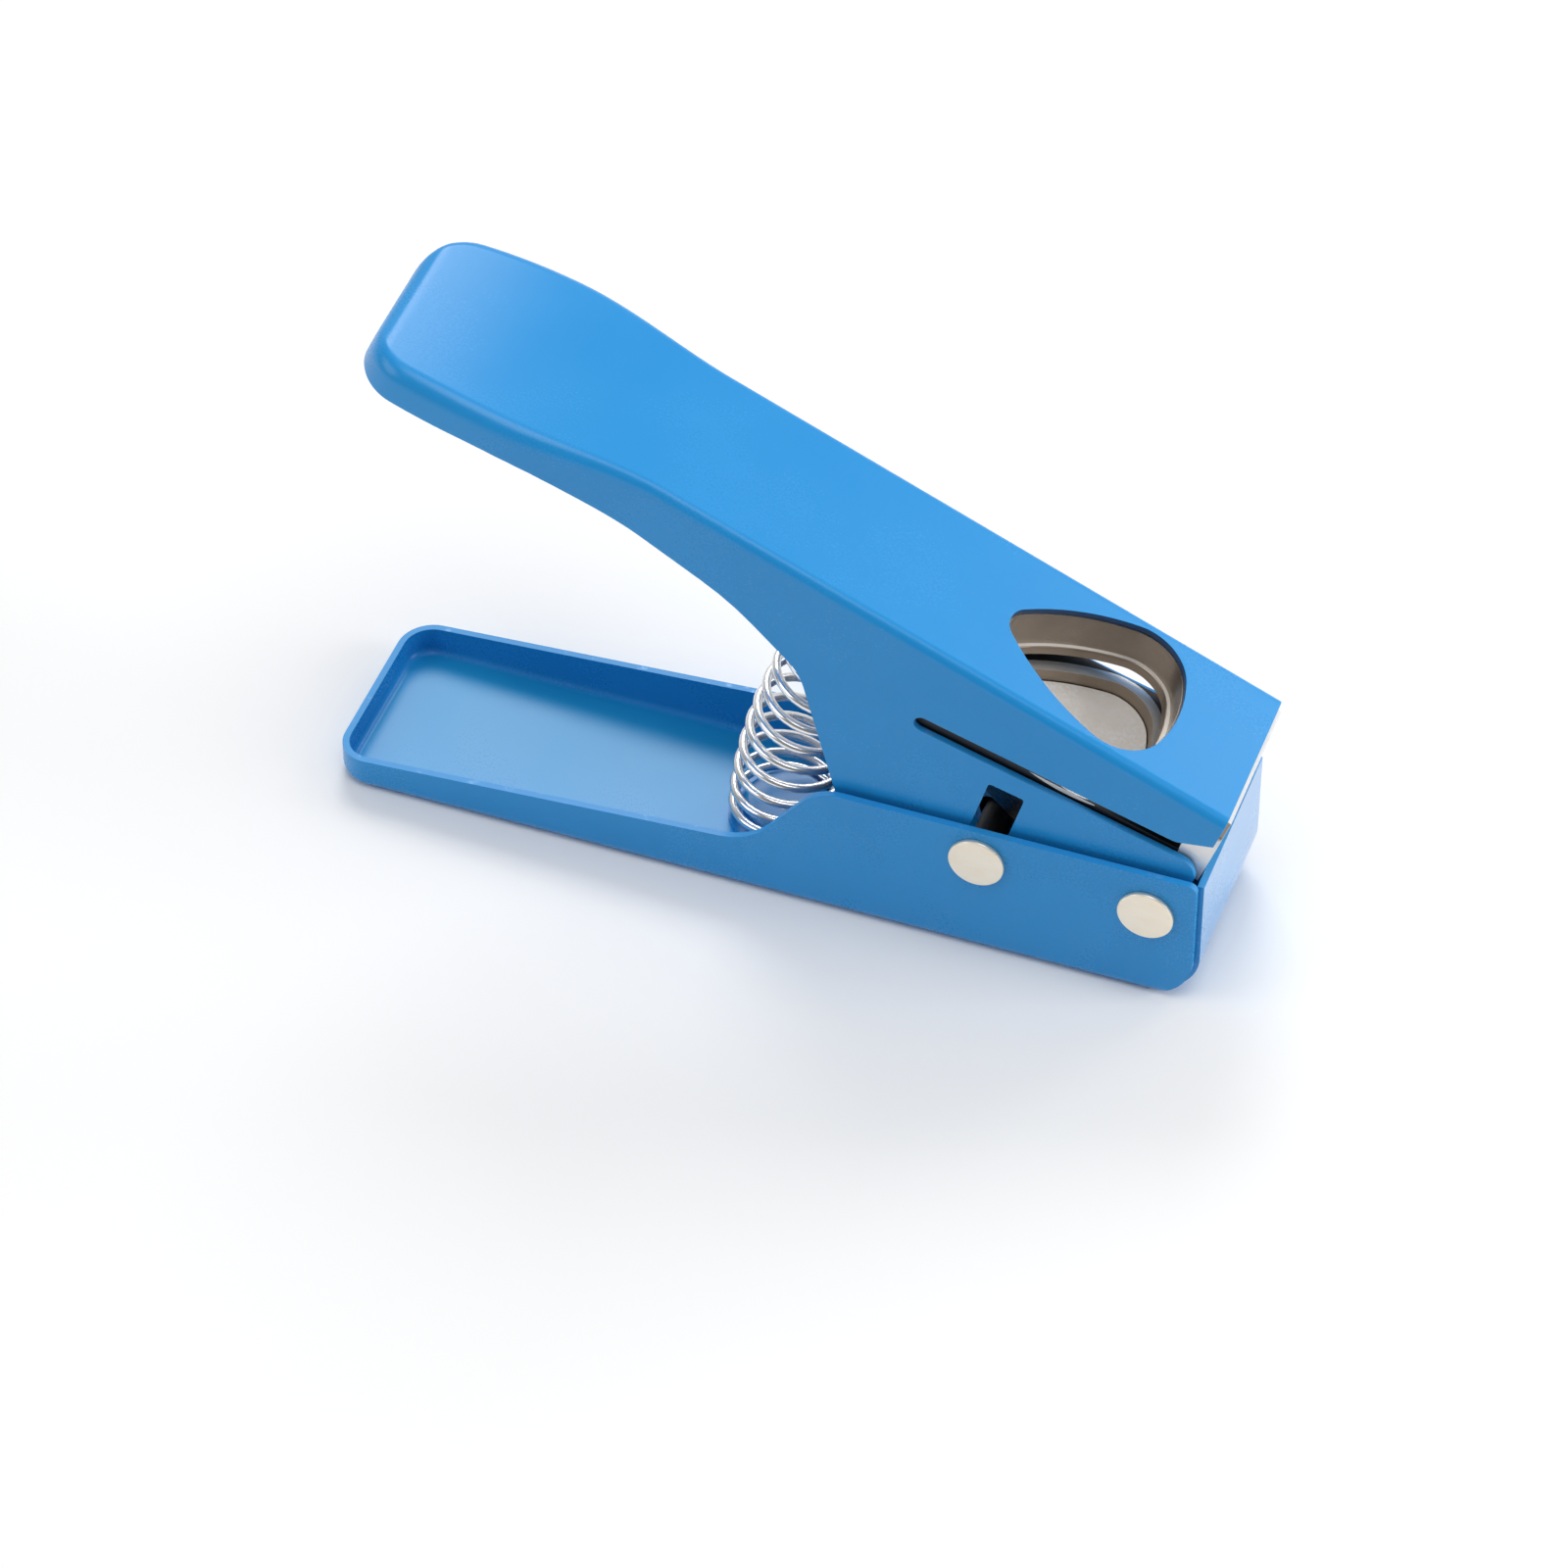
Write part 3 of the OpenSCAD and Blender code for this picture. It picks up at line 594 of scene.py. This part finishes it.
# dark navy for the pick window's cut edge: painted shade on the blue paint
window_edge_shade_paint = cut_paint("window_edge_painted_shade", (0.006, 0.060, 0.190, 1), (0.05, 0.14, 0.30, 1))
nickel = plated("nickel_plate", (1.0, 0.91, 0.76, 1), (0.95, 0.82, 0.64, 1), 0.34, 0.08, 0.8)
chrome_wire = plated("bright_wire", (0.96, 0.96, 0.95, 1), (0.84, 0.84, 0.85, 1), 0.17, 0.06, 0.8)
turned_steel = ground("turned_steel", (0.62, 0.61, 0.60, 1), (0.42, 0.41, 0.40, 1), 0.28,
                      (1, 30, 1))
die_steel = ground("ground_die_steel", (0.37, 0.32, 0.275, 1), (0.26, 0.225, 0.19, 1), 0.18,
                   (1, 1, 24))
# lapped steel; its near-white tone is partly a painted highlight
lapped_highlight_steel = ground("lapped_steel_painted_highlight", (0.98, 0.94, 0.88, 1), (0.90, 0.85, 0.78, 1), 0.34,
                     (20, 1, 1), 0.25)
end_steel = ground("lapped_ends", (0.92, 0.90, 0.87, 1), (0.76, 0.73, 0.69, 1), 0.24,
                   (20, 1, 1), 0.65)
ring_steel = ground("polished_ring", (0.98, 0.95, 0.91, 1), (0.90, 0.86, 0.80, 1), 0.05,
                    (20, 1, 1), 0.55)
wall_steel = ground("stained_hole_wall", (0.40, 0.34, 0.28, 1), (0.26, 0.21, 0.17, 1), 0.24,
                    (1, 1, 24))
punch_face = pitted("pitted_punch_steel", (0.99, 0.94, 0.89, 1), (1.0, 0.99, 0.97, 1),
                    (0.80, 0.72, 0.64, 1))
# near-black steel that is painted shade: the feed gap's roof, the guide plate's top and flanks,
# the guide tube
shade_dark_steel = ground("steel_painted_shade", (0.10, 0.095, 0.09, 1), (0.05, 0.047, 0.045, 1), 0.34,
                    (1, 20, 1))
black_screw = ground("blackened_screw", (0.05, 0.05, 0.055, 1), (0.02, 0.02, 0.02, 1), 0.35,
                     (1, 1, 1))


# The folded base

def wall_outline():
    """Side view of the walls: low rim, slope, tall cheeks and a rounded front foot."""
    slope_top = WALL_FRONT - WALL_RUN
    foot_x = WALL_FRONT - FLAP_BEND_R
    rear = -BASE_FRONT - 1
    return [(rear, -1), (foot_x, -1), *arc((foot_x, FLAP_BEND_R), FLAP_BEND_R, -90, 90),
            *rounded([(WALL_FRONT, 0, 0), (WALL_FRONT, WALL_H, WALL_CORNER_R),
                      (slope_top, WALL_H, WALL_SHOULDER_R),
                      (slope_top - WALL_SLOPE, RIM_FRONT_H, WALL_FOOT_R),
                      (rear, RIM_REAR_H, 0)])[1:]]


def make_base():
    top = WALL_H + 4
    tray = block((-BASE_FRONT, -BASE_W / 2, 0), (WALL_FRONT, BASE_W / 2, top))
    dress(tray, blue_paint, blue_edge_and_highlight)

    def rear_upright(edge):
        a, b = edge_ends(tray, edge)
        return max(a.x, b.x) < -BASE_FRONT + 0.1 and abs(a.z - b.z) > 1

    mark(tray, "EDGE", rear_upright)
    bpy.ops.mesh.bevel(offset=TRAY_CORNER_R, segments=10, affect="EDGES")
    leave_edit()

    def floor_edge(edge):
        a, b = edge_ends(tray, edge)
        return max(a.z, b.z) < 0.1 and min(a.x, b.x) < WALL_FRONT - 0.1

    mark(tray, "EDGE", floor_edge)
    bpy.ops.mesh.bevel(offset=FLOOR_BEND_R, segments=6, affect="EDGES")
    leave_edit()
    mark(tray, "FACE", lambda f: f.normal.z > 0.9 or f.normal.x > 0.9)
    bpy.ops.mesh.delete(type="FACE")
    leave_edit()
    modify(tray, "SOLIDIFY", thickness=SHEET, offset=-1, use_even_offset=True)
    face_outwards(tray)
    carve(tray, prism(wall_outline(), -BASE_W, BASE_W, SIDEWAYS), "INTERSECT")
    bend_x = BASE_FRONT - FLAP_BEND_R
    slit = INNER_HALF - 0.01
    carve(tray, block((bend_x, -slit, -1), (BASE_FRONT + 1, slit, top)))
    for x, z, r in ((PIVOT_X, PIVOT_Z, PIVOT_RIVET_R), (GUIDE_X, GUIDE_Z, GUIDE_RIVET_R)):
        carve(tray, cross_bar(x, z, r + RIVET_PLAY, BASE_W + 2))
    # the floor inside the tray gets a paler paint, a painted sheen
    dress(tray, tray_floor_sheen_paint)
    for face in tray.data.polygons:
        if face.normal.z > 0.9 and abs(face.center.z - SHEET) < 0.1:
            face.material_index = 2
    join(tray, make_flap(bend_x))
    ease(tray, 0.22, sliver=0.08)
    return set_down(tray, "folded_base", BASE, "base", "base_shell", slot="blue_paint")


def make_flap(bend_x):
    """The front flap, spun up out of the floor's front edge."""
    half = INNER_HALF - FLAP_SLIT
    deselect()
    bpy.ops.mesh.primitive_plane_add(size=1)
    flap = bpy.context.object
    for vertex in flap.data.vertices:
        x = bend_x if vertex.co.x > 0 else bend_x - 1
        vertex.co = (x, half if vertex.co.y > 0 else -half, 0)
    mark(flap, "VERT", lambda v: v.co.x < bend_x - 0.5)
    bpy.ops.mesh.delete(type="VERT")
    leave_edit()
    mark(flap, "EDGE", every)
    bpy.ops.mesh.spin(steps=14, angle=math.radians(90), center=(bend_x, 0, FLAP_BEND_R),
                      axis=(0, 1, 0))
    leave_edit()
    highest = max(v.co.z for v in flap.data.vertices)
    mark(flap, "EDGE", lambda e: min(p.z for p in edge_ends(flap, e)) > highest - 0.01)
    rise = (0, 0, FLAP_H - FLAP_BEND_R)
    bpy.ops.mesh.extrude_region_move(TRANSFORM_OT_translate={"value": rise})
    leave_edit()
    turn_sheet(flap, lambda f: f.center.z, 0)
    dress(flap, flap_paint, blue_edge_and_highlight)
    modify(flap, "SOLIDIFY", thickness=SHEET, offset=-1, use_even_offset=True,
           material_offset_rim=1)
    return flap


# The folded lever

def lever_half_at(back):
    """Half the width across the lever's cheeks and handle."""
    wide = LEVER_HALF + (HANDLE_HALF - LEVER_HALF) * smooth_step((back - FLARE_START) / FLARE_RUN)
    return wide - max(0, back - FLARE_START - FLARE_RUN) ** 2 / (2 * HANDLE_SIDE_R)


def lever_ring(back, columns):
    """One section across the lever: near cheek, fold, top, fold, far cheek."""
    fold = FOLD_R + (HANDLE_FOLD_R - FOLD_R) * smooth_step((back - FLARE_START) / FLARE_RUN)
    half = lever_half_at(back) - round_drop(TAIL_CORNER_R, back - TAIL_BACK + TAIL_CORNER_R)
    top = TOP_H - round_drop(DROOP_R, back - DROOP_START)
    top -= round_drop(HANDLE_FOLD_R, back - TAIL_BACK + HANDLE_FOLD_R)
    turns = [math.radians(90 * i / columns) for i in range(columns + 1)]
    far = [(half - fold + fold * math.cos(a), top - fold + fold * math.sin(a)) for a in turns]
    side = [(half, -CHEEK_DROP - 4), *far]
    return [(-back, y, z) for y, z in side] + [(-back, -y, z) for y, z in reversed(side)]


def lever_outline():
    """Side view: cheeks round the rivets, throat, then the handle's lower edge."""
    roof, tail = TOP_H + 4, TAIL_BACK + 4
    neck_up = WAIST_UP - NECK_SLOPE * (WAIST_BACK - NECK_BACK)
    throat_back = neck_up - THROAT_SLOPE * NECK_BACK + CHEEK_DROP + HEEL_SLOPE * HEEL_BACK
    throat_back /= HEEL_SLOPE - THROAT_SLOPE
    throat_up = neck_up - THROAT_SLOPE * (NECK_BACK - throat_back)
    tail_up = WAIST_UP - TAIL_SLOPE * (tail - WAIST_BACK)
    return rounded([(NOSE, roof, 0), (NOSE, TOP_H, 0), (CHEEK_NOSE, -CHEEK_DROP, CHEEK_NOSE_R),
                    (-HEEL_BACK, -CHEEK_DROP, HEEL_R), (-throat_back, throat_up, THROAT_R),
                    (-NECK_BACK, neck_up, NECK_R), (-WAIST_BACK, WAIST_UP, WAIST_R),
                    (-tail, tail_up, 0), (-tail, roof, 0)])


def slot_outline():
    """Side view of the feed slot, open and flared at the nose."""
    end_r = SLOT_H / 2 - 0.05
    mouth, low = CHEEK_NOSE + 4, SLOT_FLOOR - MOUTH_DROP
    high = SLOT_ROOF + MOUTH_ROOF_RISE * (mouth - MOUTH_ROOF_START)
    return rounded([(-SLOT_BACK, SLOT_ROOF, end_r), (-SLOT_BACK, SLOT_FLOOR, end_r),
                    (MOUTH_LIP, SLOT_FLOOR, MOUTH_LIP_R), (CHEEK_NOSE, low, 0),
                    (mouth, low, 0), (mouth, high, 0),
                    (MOUTH_ROOF_START, SLOT_ROOF, MOUTH_ROOF_R)])


def guide_window():
    """Side view of the window in the cheeks that clears the guide tube over its whole arc."""
    arm = math.hypot(GUIDE_BACK, GUIDE_UP)
    near = arm * math.cos(math.radians(LIFT / 2))
    swing = arm * math.sin(math.radians(LIFT / 2))
    reach = GUIDE_TUBE_R + TUBE_PLAY
    rear, front, low, high = -arm - reach, reach - near, -swing - reach, swing + GUIDE_TUBE_R + 1
    corners = ((rear, low), (front, low), (front, high), (rear, high))
    return rounded([(x, z, TUBE_WINDOW_R) for x, z in corners])


def make_lever():
    end = TAIL_BACK - TAIL_CORNER_R
    backs = [-CHEEK_NOSE - 1, FLARE_START]
    backs += [FLARE_START + (end - FLARE_START) * i / 40 for i in range(1, 41)]
    backs += [end + TAIL_CORNER_R * math.sin(math.radians(a)) for a in range(8, 91, 6)]
    backs += [TAIL_BACK]
    rings = [lever_ring(back, columns=6) for back in backs]
    deselect()
    bpy.ops.mesh.primitive_grid_add(x_subdivisions=len(rings[0]) - 1,
                                    y_subdivisions=len(rings) - 1)
    lever = bpy.context.object
    for vertex, place in zip(lever.data.vertices, [p for ring in rings for p in ring]):
        vertex.co = place
    dress(lever, blue_paint, blue_edge_and_highlight, window_edge_shade_paint)
    # the tail's end wall closes the last section
    mark(lever, "VERT", lambda v: v.co.x < -TAIL_BACK + 0.001)
    bpy.ops.mesh.edge_face_add()
    leave_edit()
    turn_sheet(lever, lambda f: abs(f.normal.z) * f.area, 2)
    modify(lever, "SOLIDIFY", thickness=SHEET, offset=-1, use_even_offset=True)
    wide = 2 * HANDLE_HALF + 4
    carve(lever, prism(lever_outline(), -wide / 2, wide / 2, SIDEWAYS), "INTERSECT")
    from_lever = LEVER.inverted()
    for place, outline in ((SLOT, slot_outline()), (GUIDE, guide_window())):
        carve(lever, prism(outline, -wide / 2, wide / 2, from_lever @ place @ SIDEWAYS))
    window = prism(pick_outline(WINDOW_MARGIN), COLLAR_FLOOR + 1, TOP_H + 9, from_lever @ DIE)
    # the window's cut edge takes the navy of painted shade
    carve(lever, window, slot=2)
    carve(lever, cross_bar(0, 0, LEVER_BORE_R, wide))
    ease(lever, 0.2, sliver=0.08)
    return set_down(lever, "folded_lever", LEVER, "lever", "lever_shell", slot="blue_paint")


# The coil spring, from its seat on the floor to its seat under the lever

def spring_line():
    """Foot and head of the coil's centre line, and how it leaves and reaches them."""
    tilt = math.radians(LIFT)
    foot = Vector((PIVOT_X - SPRING_BACK, 0, SPRING_REST))
    head = Matrix.Rotation(tilt, 4, "Y") @ Vector((-SPRING_TOP_BACK, 0, TOP_H - SPRING_REST))
    head += Vector((PIVOT_X, 0, PIVOT_Z))
    span = (head - foot).length
    leaving = Vector((0, 0, 0.75 * span))
    return foot, head, leaving, Vector((math.sin(tilt), 0, math.cos(tilt))) * span


def make_spring():
    foot, head, leaving, arriving = spring_line()
    steps, sides = 40, 14
    wire_r, coil_r = WIRE_D / 2, (SPRING_D - WIRE_D) / 2
    deselect()
    bpy.ops.mesh.primitive_circle_add(vertices=sides, radius=wire_r)
    spring = bpy.context.object
    spring.data.transform(Matrix.Translation((coil_r, 0, 0)) @ SIDEWAYS)
    modify(spring, "SCREW", axis="Z", angle=2 * math.pi, iterations=SPRING_TURNS, steps=steps,
           render_steps=steps, screw_offset=4.0, use_merge_vertices=False)
    low = END_PITCH / leaving.length
    high = END_PITCH / arriving.length

    def share(turn):
        """How far along the centre line a turn of the coil comes, from 0 to 1."""
        if turn < 1:
            return low * turn
        if turn > SPRING_TURNS - 1:
            return 1 - high * (SPRING_TURNS - turn)
        return low + (1 - low - high) * (turn - 1) / (SPRING_TURNS - 2)

    # bends the straight coil along its centre line and draws its end turns together
    for index, vertex in enumerate(spring.data.vertices):
        turn, k = index // sides / steps, index % sides
        t = share(turn)
        centre = ((2 * t ** 3 - 3 * t ** 2 + 1) * foot + (t ** 3 - 2 * t ** 2 + t) * leaving
                  + (3 * t ** 2 - 2 * t ** 3) * head + (t ** 3 - t ** 2) * arriving)
        up = ((6 * t ** 2 - 6 * t) * foot + (3 * t ** 2 - 4 * t + 1) * leaving
              + (6 * t - 6 * t ** 2) * head + (3 * t ** 2 - 2 * t) * arriving).normalized()
        ahead, aside = math.cos(2 * math.pi * turn), math.sin(2 * math.pi * turn)
        out = Vector((ahead * up.z, aside, -ahead * up.x))
        wire = 2 * math.pi * k / sides
        vertex.co = (centre + out * (coil_r + wire_r * math.cos(wire))
                     + up * (wire_r * math.sin(wire)))
    last = len(spring.data.vertices) - sides
    for end in (range(sides), range(last, last + sides)):
        mark(spring, "VERT", lambda v: v.index in end)
        bpy.ops.mesh.edge_face_add()
        leave_edit()
    face_outwards(spring)
    dress(spring, chrome_wire)
    set_down(spring, "coil_spring", BASE, None, "return_spring", slot="spring_chrome")
    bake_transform(spring)
    return spring


# Rivets, die parts and punch

def make_head():
    """A flat, softly domed rivet head, its lower rim rounded under."""
    deselect()
    bpy.ops.mesh.primitive_cylinder_add(vertices=72, radius=HEAD_R, depth=HEAD_T)
    head = bpy.context.object
    level = HEAD_T / 2 - 0.01
    mark(head, "EDGE", lambda e: max(p.z for p in edge_ends(head, e)) < -level)
    bpy.ops.mesh.bevel(offset=HEAD_UNDERCUT, segments=2, affect="EDGES")
    leave_edit()
    mark(head, "EDGE", lambda e: min(p.z for p in edge_ends(head, e)) > level)
    bpy.ops.mesh.bevel(offset=HEAD_ROUND, segments=4, affect="EDGES")
    leave_edit()
    for inset, rise in HEAD_DOME:
        mark(head, "FACE", lambda f: f.normal.z > 0.99 and f.center.xy.length < 0.1)
        bpy.ops.mesh.inset(thickness=inset)
        bpy.ops.transform.translate(value=(0, 0, rise))
        leave_edit()
    return head


def make_rivet(name, node, head, x, z, shank_r):
    """A shank with a copy of the head outside each base wall."""
    rivet = cross_bar(x, z, shank_r, BASE_W + 0.2)
    for side in (-1, 1):
        take(head)
        bpy.ops.object.duplicate()
        end = bpy.context.object
        turn = Matrix.Rotation(math.radians(-90 * side), 4, "X")
        end.data.transform(Matrix.Translation((x, side * (BASE_W + HEAD_T) / 2, z)) @ turn)
        join(rivet, end)
    dress(rivet, nickel)
    return set_down(rivet, name, BASE, "base", node, slot="nickel_plate")


def make_rivets():
    head = make_head()
    make_rivet("front_rivet", "pivot_rivet", head, PIVOT_X, PIVOT_Z, PIVOT_RIVET_R)
    make_rivet("rear_rivet", "guide_rivet", head, GUIDE_X, GUIDE_Z, GUIDE_RIVET_R)
    bpy.data.objects.remove(head)


def roof_level(x):
    """Level of the lever's underside above a place on the die's plane."""
    slope = math.radians(DIE_SLOPE)
    return (TOP_H - SHEET - x * math.sin(slope)) / math.cos(slope)


def make_collar():
    wedge = [(-PLATE_BACK, COLLAR_FLOOR), (PLATE_FRONT, COLLAR_FLOOR),
             (PLATE_FRONT, roof_level(PLATE_FRONT)), (-PLATE_BACK, roof_level(-PLATE_BACK))]
    collar = prism(wedge, -COLLAR_HALF, COLLAR_HALF, SIDEWAYS)
    dress(collar, die_steel, lapped_highlight_steel)
    hole = prism(pick_outline(DIE_LEDGE), COLLAR_FLOOR - 1, roof_level(-PLATE_BACK) + 1)
    carve(collar, hole, slot=0)
    ease(collar, 0.12, 50)
    # the lip past the lever's top is lapped, its near-white tone partly a painted highlight
    back, front = PLATE_FRONT - LIP_DEPTH, PLATE_FRONT + 1
    lip = [(back, roof_level(back) - SKIM), (front, roof_level(front) - SKIM),
           (front, roof_level(front) + 2), (back, roof_level(back) + 2)]
    carve(collar, prism(lip, -COLLAR_HALF - 1, COLLAR_HALF + 1, SIDEWAYS))
    # the collar's front faces take the same near-white steel, partly a painted highlight
    for face in collar.data.polygons:
        if face.normal.x > 0.6 and face.center.x > PLATE_FRONT - 0.2:
            face.material_index = 1
    return set_down(collar, "die_wedge", DIE, "lever", "die_collar", slot="die_steel")


def make_die_plate():
    plate = block((-PLATE_BACK, -PLATE_HALF, DIE_FLOOR), (PLATE_FRONT, PLATE_HALF, COLLAR_FLOOR))
    # the plate's top is lapped steel whose near-white tone is partly a painted highlight
    dress(plate, lapped_highlight_steel, wall_steel)
    carve(plate, prism(pick_outline(DIE_PLAY), DIE_FLOOR - 1, COLLAR_FLOOR + 1))
    drill(plate, DIE_FLOOR - 1, COLLAR_FLOOR + 1)

    def hole_edge(edge):
        ends = edge_ends(plate, edge)
        on_top = min(p.z for p in ends) > COLLAR_FLOOR - 0.01
        inside = max(abs(p.y) for p in ends) < PLATE_HALF - 1
        return on_top and inside and all(-PICK_SET - PICK_L - 1 < p.x < 1 - PICK_SET for p in ends)

    # the rubbed rim of the hole
    mark(plate, "EDGE", hole_edge)
    bpy.ops.mesh.bevel(offset=0.25, segments=4, affect="EDGES", material=1)
    leave_edit()
    # the roof of the feed gap is painted dark as shade, and the plate's front edge
    dress(plate, shade_dark_steel, turned_steel)
    for face in plate.data.polygons:
        if face.normal.z < -0.5:
            face.material_index = 2
        elif face.center.x > PLATE_FRONT - 0.1:
            face.material_index = 3
    ease(plate, 0.08, 60)
    return set_down(plate, "cutting_die", DIE, "lever", "die_plate", slot="die_steel")


def bore(plate, x, y, r, low, high, step):
    """A round hole through a plate of the die set, or part of the way."""
    carve(plate, prism(arc((x, y), r, 0, 360, step)[:-1], low, high))


def drill(plate, low, high):
    """Bores a plate of the die set for its screws and dowels."""
    for x in FIXING_X:
        for y in (-FIXING_Y, 0, FIXING_Y):
            bore(plate, x, y, FIXING_R, low, high, 12)


def flank(side, skim):
    """The two levels across the plates between which a skim off one flank lies."""
    return sorted((side * (PLATE_HALF - skim), side * (PLATE_HALF + 1)))


def make_guide_plate():
    plate = block((-PLATE_BACK, -PLATE_HALF, GUIDE_FLOOR), (PLATE_FRONT, PLATE_HALF, GUIDE_TOP))
    dress(plate, end_steel, wall_steel, shade_dark_steel, ring_steel, lapped_highlight_steel)
    for face in plate.data.polygons:
        if face.normal.z > 0.5:
            face.material_index = 2
    carve(plate, prism(pick_outline(GUIDE_PLAY), GUIDE_FLOOR - 1, GUIDE_TOP + 1))
    drill(plate, GUIDE_FLOOR - 1, GUIDE_TOP + 1)
    # sunk seats for the screws' heads
    for x in FIXING_X:
        for y in (-FIXING_Y, FIXING_Y):
            bore(plate, x, y, SCREW_SEAT_R, GUIDE_FLOOR - 1, GUIDE_FLOOR + SCREW_SEAT_H, 10)
    ease(plate, 0.1, 60)
    # a ring round the hole is polished; the rest of the top and the flanks are painted dark as
    # shade
    carve(plate, prism(pick_outline(RING_WIDTH), GUIDE_TOP - SKIM, GUIDE_TOP + 1), slot=3)
    for side in (-1, 1):
        low, high = flank(side, SKIM)
        skim = block((-PLATE_BACK + 1, low, GUIDE_FLOOR + 1), (-0.5, high, GUIDE_TOP + 1))
        carve(plate, skim, slot=2)
    # where the hole comes closest to a flank, the flank's upper edge is painted bright as a
    # highlight
    lens_highlight = [(x, GUIDE_TOP - LENS_HIGHLIGHT_DEPTH * (1 - ((x - LENS_HIGHLIGHT_X) / LENS_HIGHLIGHT_HALF) ** 2))
           for x in range(round(LENS_HIGHLIGHT_X - LENS_HIGHLIGHT_HALF), math.ceil(LENS_HIGHLIGHT_X + LENS_HIGHLIGHT_HALF))]
    lens_highlight += [(lens_highlight[-1][0], GUIDE_TOP + 1), (lens_highlight[0][0], GUIDE_TOP + 1)]
    for side in (-1, 1):
        carve(plate, prism(lens_highlight, *flank(side, 2 * SKIM), SIDEWAYS), slot=4)
    clear_slivers(plate, 0.01)
    return set_down(plate, "punch_guide", DIE, "lever", "guide_plate", slot="die_steel")


def make_punch():
    punch = prism(pick_outline(0), PUNCH_TOP - PUNCH_H, PUNCH_TOP)
    dress(punch, die_steel, punch_face)
    for face in punch.data.polygons:
        face.material_index = 1 if face.normal.z > 0.5 else 0
    ease(punch, 0.18, 50, 3)
    return set_down(punch, "pick_punch", DIE, "punch", "punch", slot="punch_steel")


make_base()
make_lever()
make_spring()
make_rivets()
make_collar()
make_die_plate()
make_guide_plate()
make_punch()

# Finishes of the solids that stay
KEPT = {
    blue_paint: ("lower_spring_seat", "upper_spring_seat"),
    turned_steel: ("pivot_tube", "pivot_washers", "die_dowels", "punch_foot"),
    # the guide tube is painted dark as shade
    shade_dark_steel: ("guide_tube",),
    end_steel: ("front_spacer", "rear_spacer"),
    black_screw: ("die_screws", "punch_screws"),
}
for finish, names in KEPT.items():
    for name in names:
        NODES[name].data.materials.clear()
        dress(NODES[name], finish)


# Studio: a pale floor, soft light from behind, a long lens, all in metres

def make_floor():
    deselect()
    bpy.ops.mesh.primitive_plane_add(size=12)
    floor = bpy.context.object
    floor.name = "studio_floor"
    f = Finish("pale_floor")
    f.set(Base_Color=(0.95, 0.95, 0.95, 1), Roughness=0.9, Specular_IOR_Level=0.1)
    dress(floor, f.material)


def make_lamp(name, place, aim, size, power):
    deselect()
    bpy.ops.object.light_add(type="AREA", location=place)
    lamp = bpy.context.object
    lamp.name = name
    lamp.data.shape = "DISK"
    lamp.data.size = size
    lamp.data.energy = power
    point(lamp, place, aim)


def point(thing, place, aim):
    """Turns a lamp or the camera at its place towards an aim."""
    way = Vector(aim) - Vector(place)
    thing.rotation_euler = way.to_track_quat("-Z", "Y").to_euler()


def make_world():
    """A plain room of light: bright behind the part, dim on the camera's side."""
    world = bpy.data.worlds.new("studio")
    bpy.context.scene.world = world
    room = Nodes(world)
    way = room.node("ShaderNodeTexCoord", {}, {}, "Generated")
    behind = room.node("ShaderNodeSeparateXYZ", {}, {0: way}, "Y")
    rise = room.node("ShaderNodeMapRange", {"interpolation_type": "SMOOTHSTEP"},
                     {"Value": behind, "From Min": -0.2, "From Max": 0.6,
                      "To Min": 0.15, "To Max": 0.6})
    light = room.node("ShaderNodeBackground", {}, {"Color": grey(1), "Strength": rise})
    room.node("ShaderNodeOutputWorld", {}, {0: light})


def make_camera(place, aim, lens):
    bpy.ops.object.camera_add(location=place)
    camera = bpy.context.object
    camera.data.lens = lens
    camera.data.sensor_width = 36
    camera.data.clip_start = 0.01
    point(camera, place, aim)
    bpy.context.scene.camera = camera


make_floor()
for name, place, aim, size, power in (
        ("back_softbox", (-0.36, 0.99, 1.05), (0, 0, 0.03), 0.7, 7.0),
        ("overhead_softbox", (0.20, -0.24, 1.26), (0, 0, 0.02), 0.9, 6.0),
        ("corner_softbox", (0.61, 0.84, 0.68), (0.03, 0, 0.03), 0.34, 0.9),
        ("side_softbox", (0.80, 0.10, 0.36), (0.05, 0, 0.03), 0.4, 2.6),
        ("front_fill", (-1.0, -0.65, 0.75), (0, 0, 0.03), 0.9, 4.4)):
    make_lamp(name, place, aim, size, power)
make_world()
make_camera(place=(0.2710, -0.7488, 0.7990), aim=(-0.0016, 0, 0.00815), lens=151.77)
bpy.context.scene.view_settings.view_transform = "Standard"
